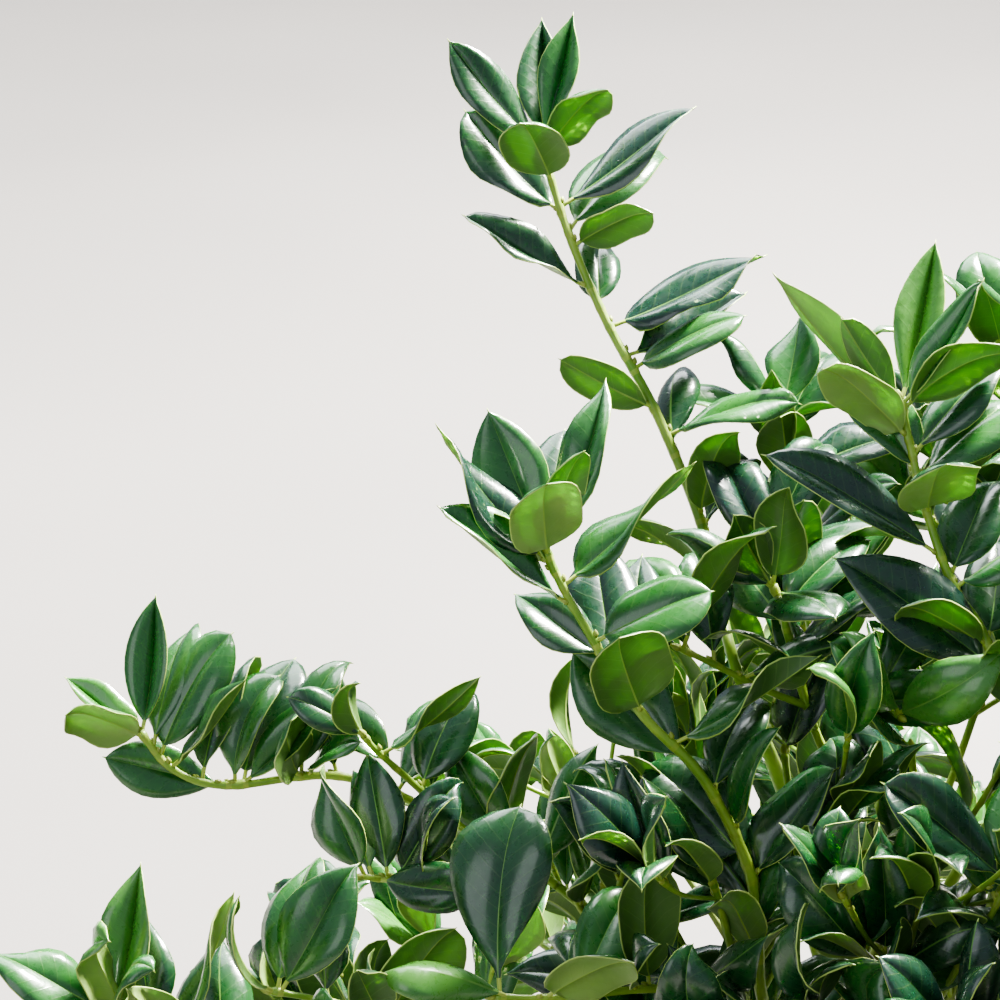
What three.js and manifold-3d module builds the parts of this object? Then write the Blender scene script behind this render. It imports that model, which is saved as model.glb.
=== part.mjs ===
// A young holly bush, rooted in the ground: a short flared trunk, limbs that fork from it
// and from each other, and masses of foliage, each one stem with its twigs and leaves.
// Units are millimetres, +Z is up, and the origin is the middle of the flat cut at ground level.
import * as THREE from "three";
import { mergeVertices } from "three/addons/utils/BufferGeometryUtils.js";
import Module from "manifold-3d";

const wasm = await Module();
wasm.setup();

// The view that the visible shoots are laid out in: mm across, mm up and mm towards the viewer
// from a point in the bush's left half, looked down on from the front.
const VIEW_CENTRE = new THREE.Vector3(-133, 0, 380);
const VIEW_DISTANCE = 1300;
const VIEW_DROP = THREE.MathUtils.degToRad(22);

// Leaves: a convex blade, widest past its middle, with its tip bent down. They grow in a close
// cluster at a twig's tip, then one at each internode, each turned a golden angle from the last.
const LEAF_LENGTH = 48;
const LEAF_BREADTH = 0.48;
const LEAF_WIDEST = 0.54;
const LEAF_CUP = 0.09;
const LEAF_RECURVE = 0.1;
const LEAF_THICKNESS = 1.3;
const ROOT_DEPTH = 0.25;
const LEAF_TURN = THREE.MathUtils.degToRad(137.5);
const CLUSTER = 4;
const CLUSTER_STEP = 3.5;
const CLUSTER_SIZE = 0.86;
const INTERNODE = 13;
const TIP_LEAN = 24;
const FULL_LEAN = 62;
const FULL_LEAN_LEAF = 7;
const LEAF_LIFT = 0.3;
const LEAST_HEIGHT = 55;

// How widely the leaves vary: in length and breadth as shares, in facing as a share of a turn
// towards their own side, in lean in degrees and in internode in mm.
const LENGTH_VARIED = 0.26;
const BREADTH_VARIED = 0.22;
const FACING_VARIED = 0.8;
const LEAN_VARIED = 16;
const INTERNODE_VARIED = 4;

// Where fewer leaves stand for the plant's, each is larger than life.
const THINNED = 2;
const THINNED_GROWTH = 1.35;

// The trunk, and its flare at the ground.
const TRUNK_LINE = [[0, 0, 0], [1, 1, 40], [-2, 3, 85], [-5, 4, 128]];
const TRUNK_RADII = [12, 7.5];
const TRUNK_SIDES = 15;
const TRUNK_STEPS = 3;
const FLARE = 8;
const FLARE_HEIGHT = 16;
const FLARE_LOBES = 5;
const FLARE_RIDGE = 0.4;
const FLARE_MEAN = 2;

// Limbs, stems and twigs.
const LIMB_SIDES = 6;
const TWIG_SIDES = 3;
const SPAN_STEPS = 2;
const TWIG_LENGTH = 84;
const TWIG_RADIUS = 1.7;
const TIP_RADIUS = 1.2;
const STEM_TIP_RADIUS = 1.5;

// Side twigs by rule: how many, where they leave the stem as shares of its leafy length, and how
// long they are beside it. A twig heads along the stem, out from it and up by these shares, and
// further up past its middle.
const TWIGS = 2;
const FIRST_TWIG = 0.06;
const TWIG_STEP = 0.3;
const TWIG_SHARE = 0.7;
const TWIG_SHORTENED = 0.16;
const TWIG_VARIED = 0.25;
const TWIG_ALONG = 0.7;
const TWIG_OUT = 0.8;
const TWIG_UP = 0.15;
const TWIG_RISE = 0.4;

// Clearances: where pieces meet, between the leaves of different masses, between leaves and wood,
// and between a twig and other wood.
const SEAT_GAP = 0.3;
const LEAF_GAP = 1.6;
const WOOD_GAP = 1.2;
const TWIG_ROOM = 9;
const SLIVER = 0.1;

const UP = new THREE.Vector3(0, 0, 1);
const VIEW_RIGHT = new THREE.Vector3(1, 0, 0);
const VIEW_UP = new THREE.Vector3(0, Math.sin(VIEW_DROP), Math.cos(VIEW_DROP));
const VIEW_TOWARDS = new THREE.Vector3(0, -Math.cos(VIEW_DROP), Math.sin(VIEW_DROP));

// A point by how it is seen: mm across, up and towards the viewer.
function seen([across, up, towards]) {
  const spread = 1 - towards / VIEW_DISTANCE;
  return VIEW_CENTRE.clone()
    .addScaledVector(VIEW_RIGHT, across * spread)
    .addScaledVector(VIEW_UP, up * spread)
    .addScaledVector(VIEW_TOWARDS, towards);
}

// A direction by how it is seen: degrees anticlockwise from the right, and towards the viewer.
function heading(turn, towards) {
  const a = THREE.MathUtils.degToRad(turn);
  const b = THREE.MathUtils.degToRad(towards);
  return VIEW_RIGHT.clone()
    .multiplyScalar(Math.cos(a) * Math.cos(b))
    .addScaledVector(VIEW_UP, Math.sin(a) * Math.cos(b))
    .addScaledVector(VIEW_TOWARDS, Math.sin(b));
}

// A point round the trunk: degrees from +X, distance from the axis, height.
function around([azimuth, reach, height]) {
  const a = THREE.MathUtils.degToRad(azimuth);
  return new THREE.Vector3(reach * Math.cos(a), reach * Math.sin(a), height);
}

// A repeatable stream of numbers from 0 to 1.
function stream(seed) {
  let state = seed >>> 0;
  return () => {
    state = (Math.imul(state, 1664525) + 1013904223) >>> 0;
    return state / 4294967296;
  };
}

// The part of v that is square to the unit vector d, at unit length.
function squareTo(v, d) {
  return v.clone().addScaledVector(d, -v.dot(d)).normalize();
}

// A smooth line through the points: a Catmull-Rom curve, sampled evenly in each span.
function smooth(points, steps) {
  const curve = new THREE.CatmullRomCurve3(points, false, "catmullrom", 0.5);
  return curve.getPoints((points.length - 1) * steps);
}

// Lengths along a polyline, from its start to each point.
function lengthsOf(line) {
  const lengths = [0];
  for (let i = 1; i < line.length; i++) {
    lengths.push(lengths[i - 1] + line[i].distanceTo(line[i - 1]));
  }
  return lengths;
}

// The point and the direction of a polyline at a distance from its start.
function placeOn(line, distance) {
  const lengths = lengthsOf(line);
  const total = lengths[line.length - 1];
  const d = THREE.MathUtils.clamp(distance, 0, total);
  let i = 1;
  while (i < line.length - 1 && lengths[i] < d) i++;
  const share = (d - lengths[i - 1]) / (lengths[i] - lengths[i - 1]);
  return {
    point: line[i - 1].clone().lerp(line[i], share),
    tangent: line[i].clone().sub(line[i - 1]).normalize(),
  };
}

// Shoots laid out as they are seen. stem and path hold places in the view, from the joint with
// the limb, or from the stem, out to the tip. A leaf row holds: mm back from the tip, heading,
// degrees towards the viewer, how far its upper side is turned to the viewer, length, breadth.
const SHOOTS = {
  tall: {
    stem: [
      [84, -63, -15], [77, -37, -26], [70, -7, -38], [54, 32, -46], [38, 61, -52], [24, 93, -57],
      [14, 126, -60],
    ],
    leaves: [
      [1, 77, -10, 1, 51, 0.34], [2, 90, -22, 0.9, 54, 0.36], [3, 129, 0, 0.6, 52, 0.37],
      [5, 46, 34, -0.5, 38, 0.52], [16, 120, 52, 0, 38, 0.64], [26, 40, -5, 0.5, 62, 0.42],
      [28, 130, -15, 0.4, 55, 0.42], [36, 43, -35, 0.5, 62, 0.42], [41, 24, 24, -0.7, 34, 0.58],
      [58, 147, 0, 0.35, 53, 0.36], [66, 89, -42, 0.6, 38, 0.44], [74, 28, -5, 0.6, 63, 0.44],
      [86, 31, -25, 0.8, 58, 0.44], [92, 29, 15, 0.5, 45, 0.52], [108, 152, 15, -1.2, 40, 0.4],
      [126, 82, -40, 0.8, 44], [120, 18, 8, 0.1, 49], [152, 70, 30, -0.4, 40],
      [156, 50, -40, 0.6, 40],
    ],
    twigs: [],
  },
  middle: {
    stem: [
      [92, -175, 20], [90, -147, 26], [86, -126, 30], [70, -96, 36], [49, -74, 42], [26, -38, 48],
      [14, -14, 50],
    ],
    leaves: [
      [2, 71, -8, 0.6, 62, 0.3], [3, 81, -30, 0.7, 49, 0.44], [5, 73, 22, -0.5, 40, 0.38],
      [6, 93, 50, -0.3, 41, 0.58], [7, 112, -12, 0.9, 56, 0.44], [9, 128, 5, 0.5, 60, 0.4],
      [12, 140, -8, -0.4, 36], [18, 46, 5, 0.5, 60, 0.4], [25, 142, 5, 0.5, 57, 0.4],
      [40, 26, 8, 0.9, 43, 0.58], [46, 143, -20, 0.6, 40], [52, 98, -35, 0.6, 56, 0.44],
      [60, 84, -30, 0.7, 56], [69, 109, 47, -0.4, 45, 0.62], [84, 35, 10, 0.2, 58, 0.42],
      [95, 136, -8, 0.7, 57, 0.52], [108, 64, -34, 0.6, 46], [122, 73, 25, 0.3, 43],
      [134, 134, -18, 0.9, 50, 0.6], [140, 56, -5, 0.4, 48, 0.5], [150, 131, -25, 0.7, 44],
      [158, 20, 36, 0, 40], [168, 118, 42, 0, 38],
    ],
    twigs: [
      {
        path: [[92, -163, 22], [70, -170, 32], [49, -171, 44], [21, -174, 54], [-2, -174, 60]],
        leaves: [
          [2, 85, -6, 1.4, 64, 0.54], [5, 165, 20, 0.3, 44], [18, 30, 30, -1, 38, 0.62],
          [30, 60, -32, 0.8, 46], [56, 92, 12, -1, 45, 0.56], [52, 80, 54, 0, 32],
          [64, 110, -36, 0.8, 44], [74, 74, 20, 0.2, 44],
        ],
      },
    ],
  },
  right: {
    stem: [[182, -95, 25], [170, -49, 23], [159, -31, 21], [149, -3, 18], [140, 35, 15]],
    leaves: [
      [1, 77, -12, 1, 60, 0.32], [2, 60, 8, 0.5, 51, 0.32], [4, 30, 18, -0.7, 45, 0.5],
      [3, 125, 18, -0.9, 40, 0.38], [5, 130, 0, -0.4, 65, 0.3], [14, 140, 22, -0.5, 43, 0.46],
      [20, 45, -15, 0.5, 50], [26, 129, -25, 0.5, 40], [28, 31, -25, 0.4, 52],
      [40, 84, 62, 0, 40, 0.66], [56, 147, 6, 0.4, 70, 0.36], [64, 62, -30, 0.6, 46],
      [68, 32, 10, 0.2, 42], [92, 153, 30, -0.5, 42, 0.5], [90, 80, -36, 0.8, 46],
      [101, 143, 8, 0.8, 68, 0.44], [104, 36, 12, 0.4, 48], [116, 100, 44, 0, 42],
      [124, 10, -10, 0.3, 46],
    ],
    twigs: [],
  },
  left: {
    stem: [
      [20, -135, -30], [-10, -116, -28], [-54, -97, -26], [-96, -100, -25], [-115, -94, -24],
      [-126, -81, -23],
    ],
    leaves: [
      [1, 86, -5, 1.1, 49, 0.38], [2, 142, -12, 0.1, 36, 0.38], [3, 156, 36, -0.5, 35, 0.6],
      [8, 74, -25, 0.9, 50], [12, 63, -4, 0.7, 51, 0.52], [17, 53, 20, 0.3, 49, 0.34],
      [30, 67, -30, 0.6, 47], [38, 166, 6, 0.5, 44, 0.44], [42, 71, -5, 0.7, 42],
      [45, 72, -20, 0.9, 53, 0.54], [44, 50, 10, 0.4, 51, 0.38], [64, 98, 52, -0.2, 37, 0.56],
      [65, 69, -15, 0.6, 46], [67, 40, 45, -0.3, 34], [78, 93, -20, 0.9, 44],
      [88, 128, 24, 0, 36], [100, 60, -30, 0.8, 44], [140, 74, 15, -0.5, 44],
      [146, 120, 0, 0.6, 42], [158, 66, -6, 1, 50],
    ],
    twigs: [
      {
        path: [[-12, -115, -28], [-24, -105, -18], [-43, -88, -6], [-48, -82, 0]],
        leaves: [
          [1, 150, 10, 0.2, 30], [3, 100, 40, 0, 28], [12, 42, 5, -0.2, 44, 0.38],
          [20, 140, -30, 0.5, 38], [32, 66, -15, 1, 42, 0.5], [37, 72, -32, 0.6, 50],
        ],
      },
      {
        path: [[12, -131, -29], [-14, -131, -14], [-35, -133, -2], [-48, -132, 4]],
        leaves: [
          [1, 112, -5, 0.8, 42, 0.5], [4, 104, -30, 0.7, 44], [10, 101, -8, 0.9, 45, 0.42],
          [13, 58, 0, 0.7, 41], [6, -6, 20, 0.4, 36], [24, 76, 40, 0, 40],
          [40, 128, -20, 0.6, 40],
        ],
      },
    ],
  },
  lower_left: {
    stem: [[-10, -215, 40], [-60, -205, 50], [-105, -195, 55], [-138, -180, 60]],
    leaves: [
      [2, 81, -5, 1.3, 51, 0.4], [4, 58, 40, -0.2, 32], [3, 149, 10, 0.4, 46],
      [6, 156, -20, 0.4, 44], [12, 120, 48, 0, 40], [20, 100, -18, 0.8, 44],
      [24, 70, 5, 0.3, 55, 0.4], [34, 130, 34, 0, 42], [44, 96, -30, 0.7, 46],
      [58, 150, 20, 0.2, 44], [74, 80, 40, 0, 42], [90, 60, -30, 0.6, 44],
      [104, 140, 10, 0.4, 44],
    ],
    twigs: [
      {
        path: [[-24, -212, 42], [-44, -182, 52], [-64, -175, 58], [-80, -172, 62]],
        leaves: [
          [1, 112, 30, 0.2, 40], [2, 77, -20, 0.9, 47, 0.5], [3, 61, 2, 0.9, 50, 0.52],
          [6, 150, 10, 0.3, 42], [20, 84, -14, 0.4, 42], [42, 56, 10, -1, 42, 0.66],
          [44, 100, 40, 0, 40], [52, 20, -10, 0.4, 42],
        ],
      },
    ],
  },
  front: {
    stem: [[150, -190, 34], [146, -178, 44], [136, -168, 54], [126, -160, 60]],
    leaves: [
      [1, 97, -20, 0.8, 34], [2, 60, -5, 1, 45, 0.42], [4, 131, 12, 1, 46, 0.52],
      [8, 150, 40, 0, 40], [14, 30, 24, 0.3, 42], [20, 100, 50, 0, 40], [28, 70, -30, 0.8, 44],
    ],
    twigs: [
      {
        path: [[148, -184, 40], [162, -160, 56], [172, -145, 64], [178, -133, 66]],
        leaves: [
          [1, 139, 12, 0.9, 54, 0.44], [2, 80, -20, 0.8, 44], [3, 40, 10, 0.4, 46],
          [9, 120, -30, 0.6, 40], [20, 150, 36, 0, 42], [24, 20, -10, 0.4, 46],
          [36, 131, 30, -0.5, 40],
        ],
      },
    ],
  },
  inner: {
    stem: [[110, -80, 0], [102, -52, 6], [98, -36, 10], [95, -29, 12]],
    leaves: [
      [1, 84, 25, -0.8, 40, 0.6], [2, 120, 35, -0.5, 38], [3, 150, 5, 0.6, 42],
      [5, 10, 45, -0.2, 46, 0.58], [12, 40, -24, 0.8, 46], [18, 130, -30, 0.8, 44],
      [26, 30, 20, 0.4, 44], [38, 150, 30, 0.2, 44],
    ],
    twigs: [
      {
        path: [[105, -62, 3], [100, -40, -10], [96, -20, -16], [94, -12, -17]],
        leaves: [
          [1, 92, -4, 1.3, 47, 0.52], [4, 60, -25, 0.8, 46], [8, 120, -30, 0.7, 44],
          [14, 20, 8, 0.5, 44],
        ],
      },
      {
        path: [[108, -72, 1], [92, -66, 10], [76, -58, 18], [63, -52, 22]],
        leaves: [
          [1, 57, 25, -0.7, 56, 0.46], [2, 150, -20, 0.8, 50, 0.5], [4, 120, -30, 0.7, 44],
          [7, 135, -10, 0.8, 52], [14, 96, -30, 0.8, 42], [26, 30, -20, 0.6, 44],
        ],
      },
      {
        path: [[107, -70, 2], [122, -70, 12], [134, -72, 22], [140, -76, 30]],
        leaves: [
          [1, 84, 20, -0.4, 42, 0.6], [3, 20, 20, 0.4, 44], [8, 130, 40, 0, 40],
          [16, 60, -30, 0.8, 44], [26, -10, 20, 0.4, 40],
        ],
      },
    ],
  },
  back: {
    stem: [[112, -66, -58], [106, -30, -66], [101, 4, -72], [98, 30, -75]],
    leaves: [
      [1, 78, -20, 0.9, 42], [2, 124, 0, 0, 40], [3, 5, 20, -0.2, 40], [5, 174, 5, 0.5, 44],
      [10, 60, -30, 0.8, 46], [16, 140, 20, 0.2, 46], [24, 20, -10, 0.7, 50],
      [32, 100, 40, -0.2, 42], [42, 150, -16, 0.6, 46], [52, 40, 20, 0.2, 46],
      [64, 120, -30, 0.8, 46], [76, 16, -20, 0.7, 46],
    ],
    twigs: [],
  },
};

// The limbs that carry those shoots, in the order that they fork: what each leaves and how far
// along it, its radius there and at its tip, and the azimuth, reach and height that it passes.
const LIMBS = [
  { key: "tall", from: ["trunk", 128], radii: [7, 3.2], via: [[120, 12, 180], [165, 26, 250]] },
  { key: "middle", from: ["trunk", 84], radii: [5.6, 3.4], via: [[250, 42, 140], [249, 74, 185]] },
  { key: "right", from: ["trunk", 108], radii: [5.4, 3], via: [[330, 30, 170], [318, 56, 240]] },
  { key: "left", from: ["trunk", 98], radii: [5, 2.9], via: [[184, 40, 150], [188, 78, 200]] },
  { key: "lower_left", from: ["trunk", 58], radii: [4.8, 2.8], via: [[216, 50, 100], [218, 112, 146]] },
  { key: "front", from: ["right_limb", 60], radii: [3.6, 2.6], via: [[285, 66, 186]] },
  { key: "inner", from: ["tall_limb", 96], radii: [3.6, 2.6], via: [[255, 24, 262]] },
  { key: "back", from: ["tall_limb", 60], radii: [3.8, 2.6], via: [[112, 26, 236]] },
];

// The foliage that the view hides or cuts off stands in tiers round the trunk. A tier holds the
// azimuths of its masses, what they grow from and how far along it, dealt out in turn, the reach
// and height of the joint between limb and stem, where there is a limb, and of the stem's tip.
const TIERS = [
  {
    key: "low",
    azimuths: [352, 35, 80, 125, 165, 250, 305],
    from: [["trunk", 38], ["trunk", 50]],
    radii: [4.2, 2.4],
    joint: [118, 112],
    tip: [236, 168],
  },
  {
    key: "mid",
    azimuths: [5, 42, 87, 124, 292],
    from: [["trunk", 70], ["trunk", 84]],
    radii: [4.4, 2.5],
    joint: [100, 195],
    tip: [190, 300],
  },
  {
    key: "high",
    azimuths: [12, 58, 340],
    from: [["right_limb", 40], ["tall_limb", 30], ["right_limb", 88]],
    radii: [3.8, 2.5],
    joint: [66, 262],
    tip: [124, 420],
  },
  {
    key: "inner",
    azimuths: [207, 229, 270, 314],
    from: [["left_limb", 66], ["middle_limb", 40], ["middle_limb", 80], ["right_limb", 24]],
    radii: [3, 2.4],
    tip: [112, 268],
  },
  {
    key: "core",
    azimuths: [225, 285],
    from: [["tall_limb", 44], ["right_limb", 96]],
    radii: [2.8, 2.4],
    tip: [48, 325],
  },
];

// Sizes and azimuths in a tier vary a little, and the crown is lower on one side.
const VARIED = 0.13;
const VARIED_AZIMUTH = 16;
const CROWN_DIP = 0.26;
const CROWN_DIP_AZIMUTH = 140;
const TIER_SEED = 971;

// Where a limb and a stem bend, as shares of their reach and of their rise, and how far a stem
// with no limb sags as a share of its height.
const LIMB_BEND = [0.45, 0.55];
const STEM_BEND = [0.55, 0.4];
const SAG = 0.08;

// How much of a stem's or twig's foot has no leaves, in mm, or as a share where it has no limb.
const BARE = 14;
const BARE_SHARE = 0.42;

// A line with its frames: at each point the direction along it, and one square to that.
const STEEP = 0.9;
function framed(line) {
  const tangents = line.map((p, i) => {
    const next = line[Math.min(i + 1, line.length - 1)];
    return next.clone().sub(line[Math.max(i - 1, 0)]).normalize();
  });
  const sides = [sideOf(tangents[0])];
  for (let i = 1; i < line.length; i++) sides.push(squareTo(sides[i - 1], tangents[i]));
  return { line, tangents, sides };
}

// A direction square to another, the same for the same one each time.
function sideOf(tangent) {
  return squareTo(Math.abs(tangent.z) > STEEP ? VIEW_RIGHT : UP, tangent);
}

// A stretch of a framed line, its ends drawn in by some mm.
function stretch({ line, tangents, sides }, from, to, startGap, endGap) {
  const points = line.slice(from, to).map((p) => p.clone());
  points[0].addScaledVector(tangents[from], startGap);
  points.at(-1).addScaledVector(tangents[to - 1], -endGap);
  return { line: points, tangents: tangents.slice(from, to), sides: sides.slice(from, to) };
}

// A geometry with only its places, its shared corners merged.
function bare(shape) {
  shape.deleteAttribute("normal");
  shape.deleteAttribute("uv");
  return mergeVertices(shape, 1e-6);
}

// A tube along a framed line, closed at both ends: a cylinder's rows moved onto the line.
function tube({ line, tangents, sides }, radiusAt, ringSides) {
  const steps = line.length - 1;
  const shape = bare(new THREE.CylinderGeometry(1, 1, 1, ringSides, steps));
  const corner = shape.getAttribute("position");
  for (let i = 0; i < corner.count; i++) {
    const row = Math.round((corner.getY(i) + 0.5) * steps);
    const radius = radiusAt(row / steps, Math.atan2(corner.getZ(i), corner.getX(i)));
    const across = sides[row].clone().cross(tangents[row]);
    const point = line[row]
      .clone()
      .addScaledVector(sides[row], corner.getX(i) * radius)
      .addScaledVector(across, corner.getZ(i) * radius);
    corner.setXYZ(i, point.x, point.y, point.z);
  }
  return shape;
}

// The radius along a taper.
function tapered([start, end], extra = 0) {
  return (share) => THREE.MathUtils.lerp(start, end, share) + extra;
}

// The trunk's radius: a taper with a ridged flare at its foot.
function trunkRadius(extra) {
  const height = TRUNK_LINE.at(-1)[2];
  return (share, angle) => {
    const flare = FLARE * Math.exp((-share * height) / FLARE_HEIGHT);
    const ridges = 1 + FLARE_RIDGE * Math.cos(FLARE_LOBES * angle);
    return tapered(TRUNK_RADII, extra)(share) + flare * ridges;
  };
}

// A closed mesh as a solid, and a solid back as a mesh's geometry.
function solid(shape) {
  return new wasm.Manifold(
    new wasm.Mesh({
      numProp: 3,
      vertProperties: new Float32Array(shape.getAttribute("position").array),
      triVerts: new Uint32Array(shape.index.array),
    }),
  );
}
function shapeOf(made) {
  const { vertProperties, triVerts } = made.getMesh();
  return new THREE.BufferGeometry()
    .setAttribute("position", new THREE.BufferAttribute(vertProperties, 3))
    .setIndex(new THREE.BufferAttribute(triVerts, 1));
}

// The biggest of the bodies that a cut leaves.
function biggest(made) {
  return made.decompose().reduce((a, b) => (b.volume() > a.volume() ? b : a));
}

// A leaf by its root, its direction, and the way that its upper side faces. The root lies on the
// middle line of its twig.
function makeLeaf(root, along, facing, length, breadth = LEAF_BREADTH) {
  const upper = squareTo(facing, along);
  const across = along.clone().cross(upper);
  const middle = root.clone().addScaledVector(along, length / 2);
  return { root, along, upper, across, length, breadth, middle };
}

// A place on a leaf: shares of its length along and of its half breadth across, mm of lift off
// its plane, and mm added all round.
function onLeaf({ root, along, upper, across, length, breadth }, share, side, lift, grown = 0) {
  const drop = side ? LEAF_CUP : share === 1 ? LEAF_RECURVE : 0;
  return root
    .clone()
    .addScaledVector(along, share * length + (share === 1 ? grown : 0))
    .addScaledVector(across, side * ((breadth * length) / 2 + grown))
    .addScaledVector(upper, lift - drop * length);
}

// A leaf's solid, with eight faces.
function leafSolid(leaf) {
  const shape = bare(new THREE.OctahedronGeometry(1));
  const corner = shape.getAttribute("position");
  for (let i = 0; i < corner.count; i++) {
    const [side, end, face] = [corner.getX(i), corner.getY(i), corner.getZ(i)].map(Math.round);
    const share = end ? (end + 1) / 2 : side ? LEAF_WIDEST : 0.5;
    const point = onLeaf(leaf, share, side, (face * LEAF_THICKNESS) / 2);
    if (!share) point.addScaledVector(leaf.along, -ROOT_DEPTH);
    corner.setXYZ(i, point.x, point.y, point.z);
  }
  return solid(shape);
}

// A leaf's blade as a thin sheet, four triangles round its middle: grown by some mm, lifted off
// its plane, and with a share of its root end left out.
function sheetOf(leaf, grown, lift, rootShare) {
  return {
    middle: onLeaf(leaf, 0.5, 0, lift),
    rim: [
      onLeaf(leaf, rootShare, 0, lift),
      onLeaf(leaf, LEAF_WIDEST, 1, lift, grown),
      onLeaf(leaf, 1, 0, lift, grown),
      onLeaf(leaf, LEAF_WIDEST, -1, lift, grown),
    ],
  };
}

// Pairs of neighbours round a sheet's rim.
function sidesOf(sheet) {
  return sheet.rim.map((corner, i) => [corner, sheet.rim[(i + 1) % sheet.rim.length]]);
}

// True if the line from a to b passes through the sheet.
const ray = new THREE.Ray();
const met = new THREE.Vector3();
function pierces(a, b, sheet) {
  ray.origin.copy(a);
  ray.direction.copy(b).sub(a).normalize();
  const reach = a.distanceTo(b);
  return sidesOf(sheet).some(([corner, next]) => {
    const hit = ray.intersectTriangle(sheet.middle, corner, next, false, met);
    return hit && met.distanceTo(a) <= reach;
  });
}

// True if an edge of one sheet passes through the other.
function sheetsCross(one, two) {
  const cuts = (x, y) =>
    sidesOf(x).some(([corner, next]) => pierces(corner, next, y) || pierces(x.middle, corner, y));
  return cuts(one, two) || cuts(two, one);
}

// Leaves may touch near their own roots, and hardly at all where their masses differ.
const OWN_ROOT = 0.3;
const FREE_ROOT = 0.05;

// True if two leaves cross, or come nearer than the gap where they belong to different masses.
function leavesMeet(one, two) {
  const reach = (one.length + two.length) / 2 + LEAF_GAP;
  if (one.middle.distanceTo(two.middle) > reach) return false;
  if (one.mass === two.mass) {
    return sheetsCross(sheetOf(one, 0, 0, OWN_ROOT), sheetOf(two, 0, 0, OWN_ROOT));
  }
  const other = sheetOf(two, LEAF_GAP, 0, FREE_ROOT);
  const lifts = [-LEAF_GAP, 0, LEAF_GAP];
  return lifts.some((lift) => sheetsCross(sheetOf(one, LEAF_GAP, lift, FREE_ROOT), other));
}

// How far a point is from a straight piece of wood's middle line.
function awayFrom(piece, point) {
  return piece.segment.closestPointToPoint(point, true, met).distanceTo(point);
}

// True if a leaf touches a piece of wood that it doesn't grow from.
function meetsWood(leaf, piece) {
  if (piece.line === leaf.line) return false;
  const own = piece.mass === leaf.mass;
  const gap = own ? 0 : WOOD_GAP;
  if (awayFrom(piece, leaf.middle) > leaf.length / 2 + piece.radius + gap) return false;
  const sheet = sheetOf(leaf, gap, 0, own ? OWN_ROOT : FREE_ROOT);
  if (pierces(piece.segment.start, piece.segment.end, sheet)) return true;
  const tests = sidesOf(sheet).flatMap(([corner, next]) => [
    corner,
    corner.clone().lerp(next, 1 / 3),
    corner.clone().lerp(next, 2 / 3),
    corner.clone().lerp(sheet.middle, 1 / 2),
  ]);
  return [sheet.middle, ...tests].some((point) => awayFrom(piece, point) < piece.radius + gap);
}

// The wood and the leaves that have grown so far. Wood is kept as straight pieces.
const wood = [];
const leaves = [];

function addWood(mass, line, radii) {
  const radiusAt = tapered(radii);
  for (let i = 1; i < line.length; i++) {
    const segment = new THREE.Line3(line[i - 1], line[i]);
    wood.push({ mass, line, segment, radius: radiusAt((i - 1) / (line.length - 1)) });
  }
}

// Grows a leaf, turned a little about its twig where it would touch something, or else not at all.
const NUDGES = [0, 18, -18, 36, -36, 54].map(THREE.MathUtils.degToRad);
function growLeaf({ root, along, upper, length, breadth }, tangent, mass, line) {
  for (const nudge of NUDGES) {
    const turned = (v) => v.clone().applyAxisAngle(tangent, nudge);
    const leaf = { ...makeLeaf(root, turned(along), turned(upper), length, breadth), mass, line };
    if (onLeaf(leaf, 1, 0, 0).z < LEAST_HEIGHT) continue;
    if (leaves.some((other) => leavesMeet(leaf, other))) continue;
    if (wood.some((piece) => meetsWood(leaf, piece))) continue;
    leaves.push(leaf);
    return;
  }
}

// A leaf laid out as it is seen. Its upper side faces along the twig, up, and to the viewer.
const UPWARD = 0.6;
const SHOWN = 2;
function seenLeaf(line, [back, turn, towards, shown, length, breadth]) {
  const { point, tangent } = placeOn(line, lengthsOf(line).at(-1) - back);
  const facing = tangent.clone().addScaledVector(UP, UPWARD);
  facing.addScaledVector(VIEW_TOWARDS, shown * SHOWN);
  return { leaf: makeLeaf(point, heading(turn, towards), facing, length, breadth), tangent };
}

// A number spread evenly about a middle value.
function spread(random, middle, width) {
  return middle + (random() - 0.5) * width;
}

// The leaves of a twig by rule, from some mm behind its tip down to its bare foot. They lean out
// further the further they are from the tip.
function ruledLeaves(line, random, from, bareFoot) {
  const made = [];
  const total = lengthsOf(line).at(-1);
  const phase = random() * Math.PI * 2;
  for (let i = 0, back = 1; back < total - bareFoot; i++) {
    const { point, tangent } = placeOn(line, total - back);
    const radial = sideOf(tangent).applyAxisAngle(tangent, phase + i * LEAF_TURN);
    const age = Math.min(1, i / FULL_LEAN_LEAF);
    const meanLean = THREE.MathUtils.lerp(TIP_LEAN, FULL_LEAN, age);
    const lean = THREE.MathUtils.degToRad(spread(random, meanLean, LEAN_VARIED));
    const along = tangent.clone().multiplyScalar(Math.cos(lean)).addScaledVector(radial, Math.sin(lean));
    along.addScaledVector(UP, LEAF_LIFT).normalize();
    const facing = tangent.clone().addScaledVector(UP, UPWARD);
    facing.addScaledVector(radial, spread(random, 0, FACING_VARIED));
    const length = LEAF_LENGTH * (i < CLUSTER ? CLUSTER_SIZE : 1) * spread(random, 1, LENGTH_VARIED);
    const breadth = LEAF_BREADTH * spread(random, 1, BREADTH_VARIED);
    const leaf = makeLeaf(point, along, facing, length, breadth);
    if (back >= from) made.push({ leaf, tangent, index: i });
    back += i < CLUSTER ? CLUSTER_STEP : spread(random, INTERNODE, INTERNODE_VARIED);
  }
  return made;
}

// True if a new twig would come near wood that it doesn't grow from.
function crowded(mass, line) {
  return wood.some((piece) =>
    line.slice(1).some((point, i) => {
      const room = piece.mass === mass && i === 0 ? TWIG_ROOM : TWIG_ROOM + piece.radius;
      return awayFrom(piece, point) < room;
    }),
  );
}

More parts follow.
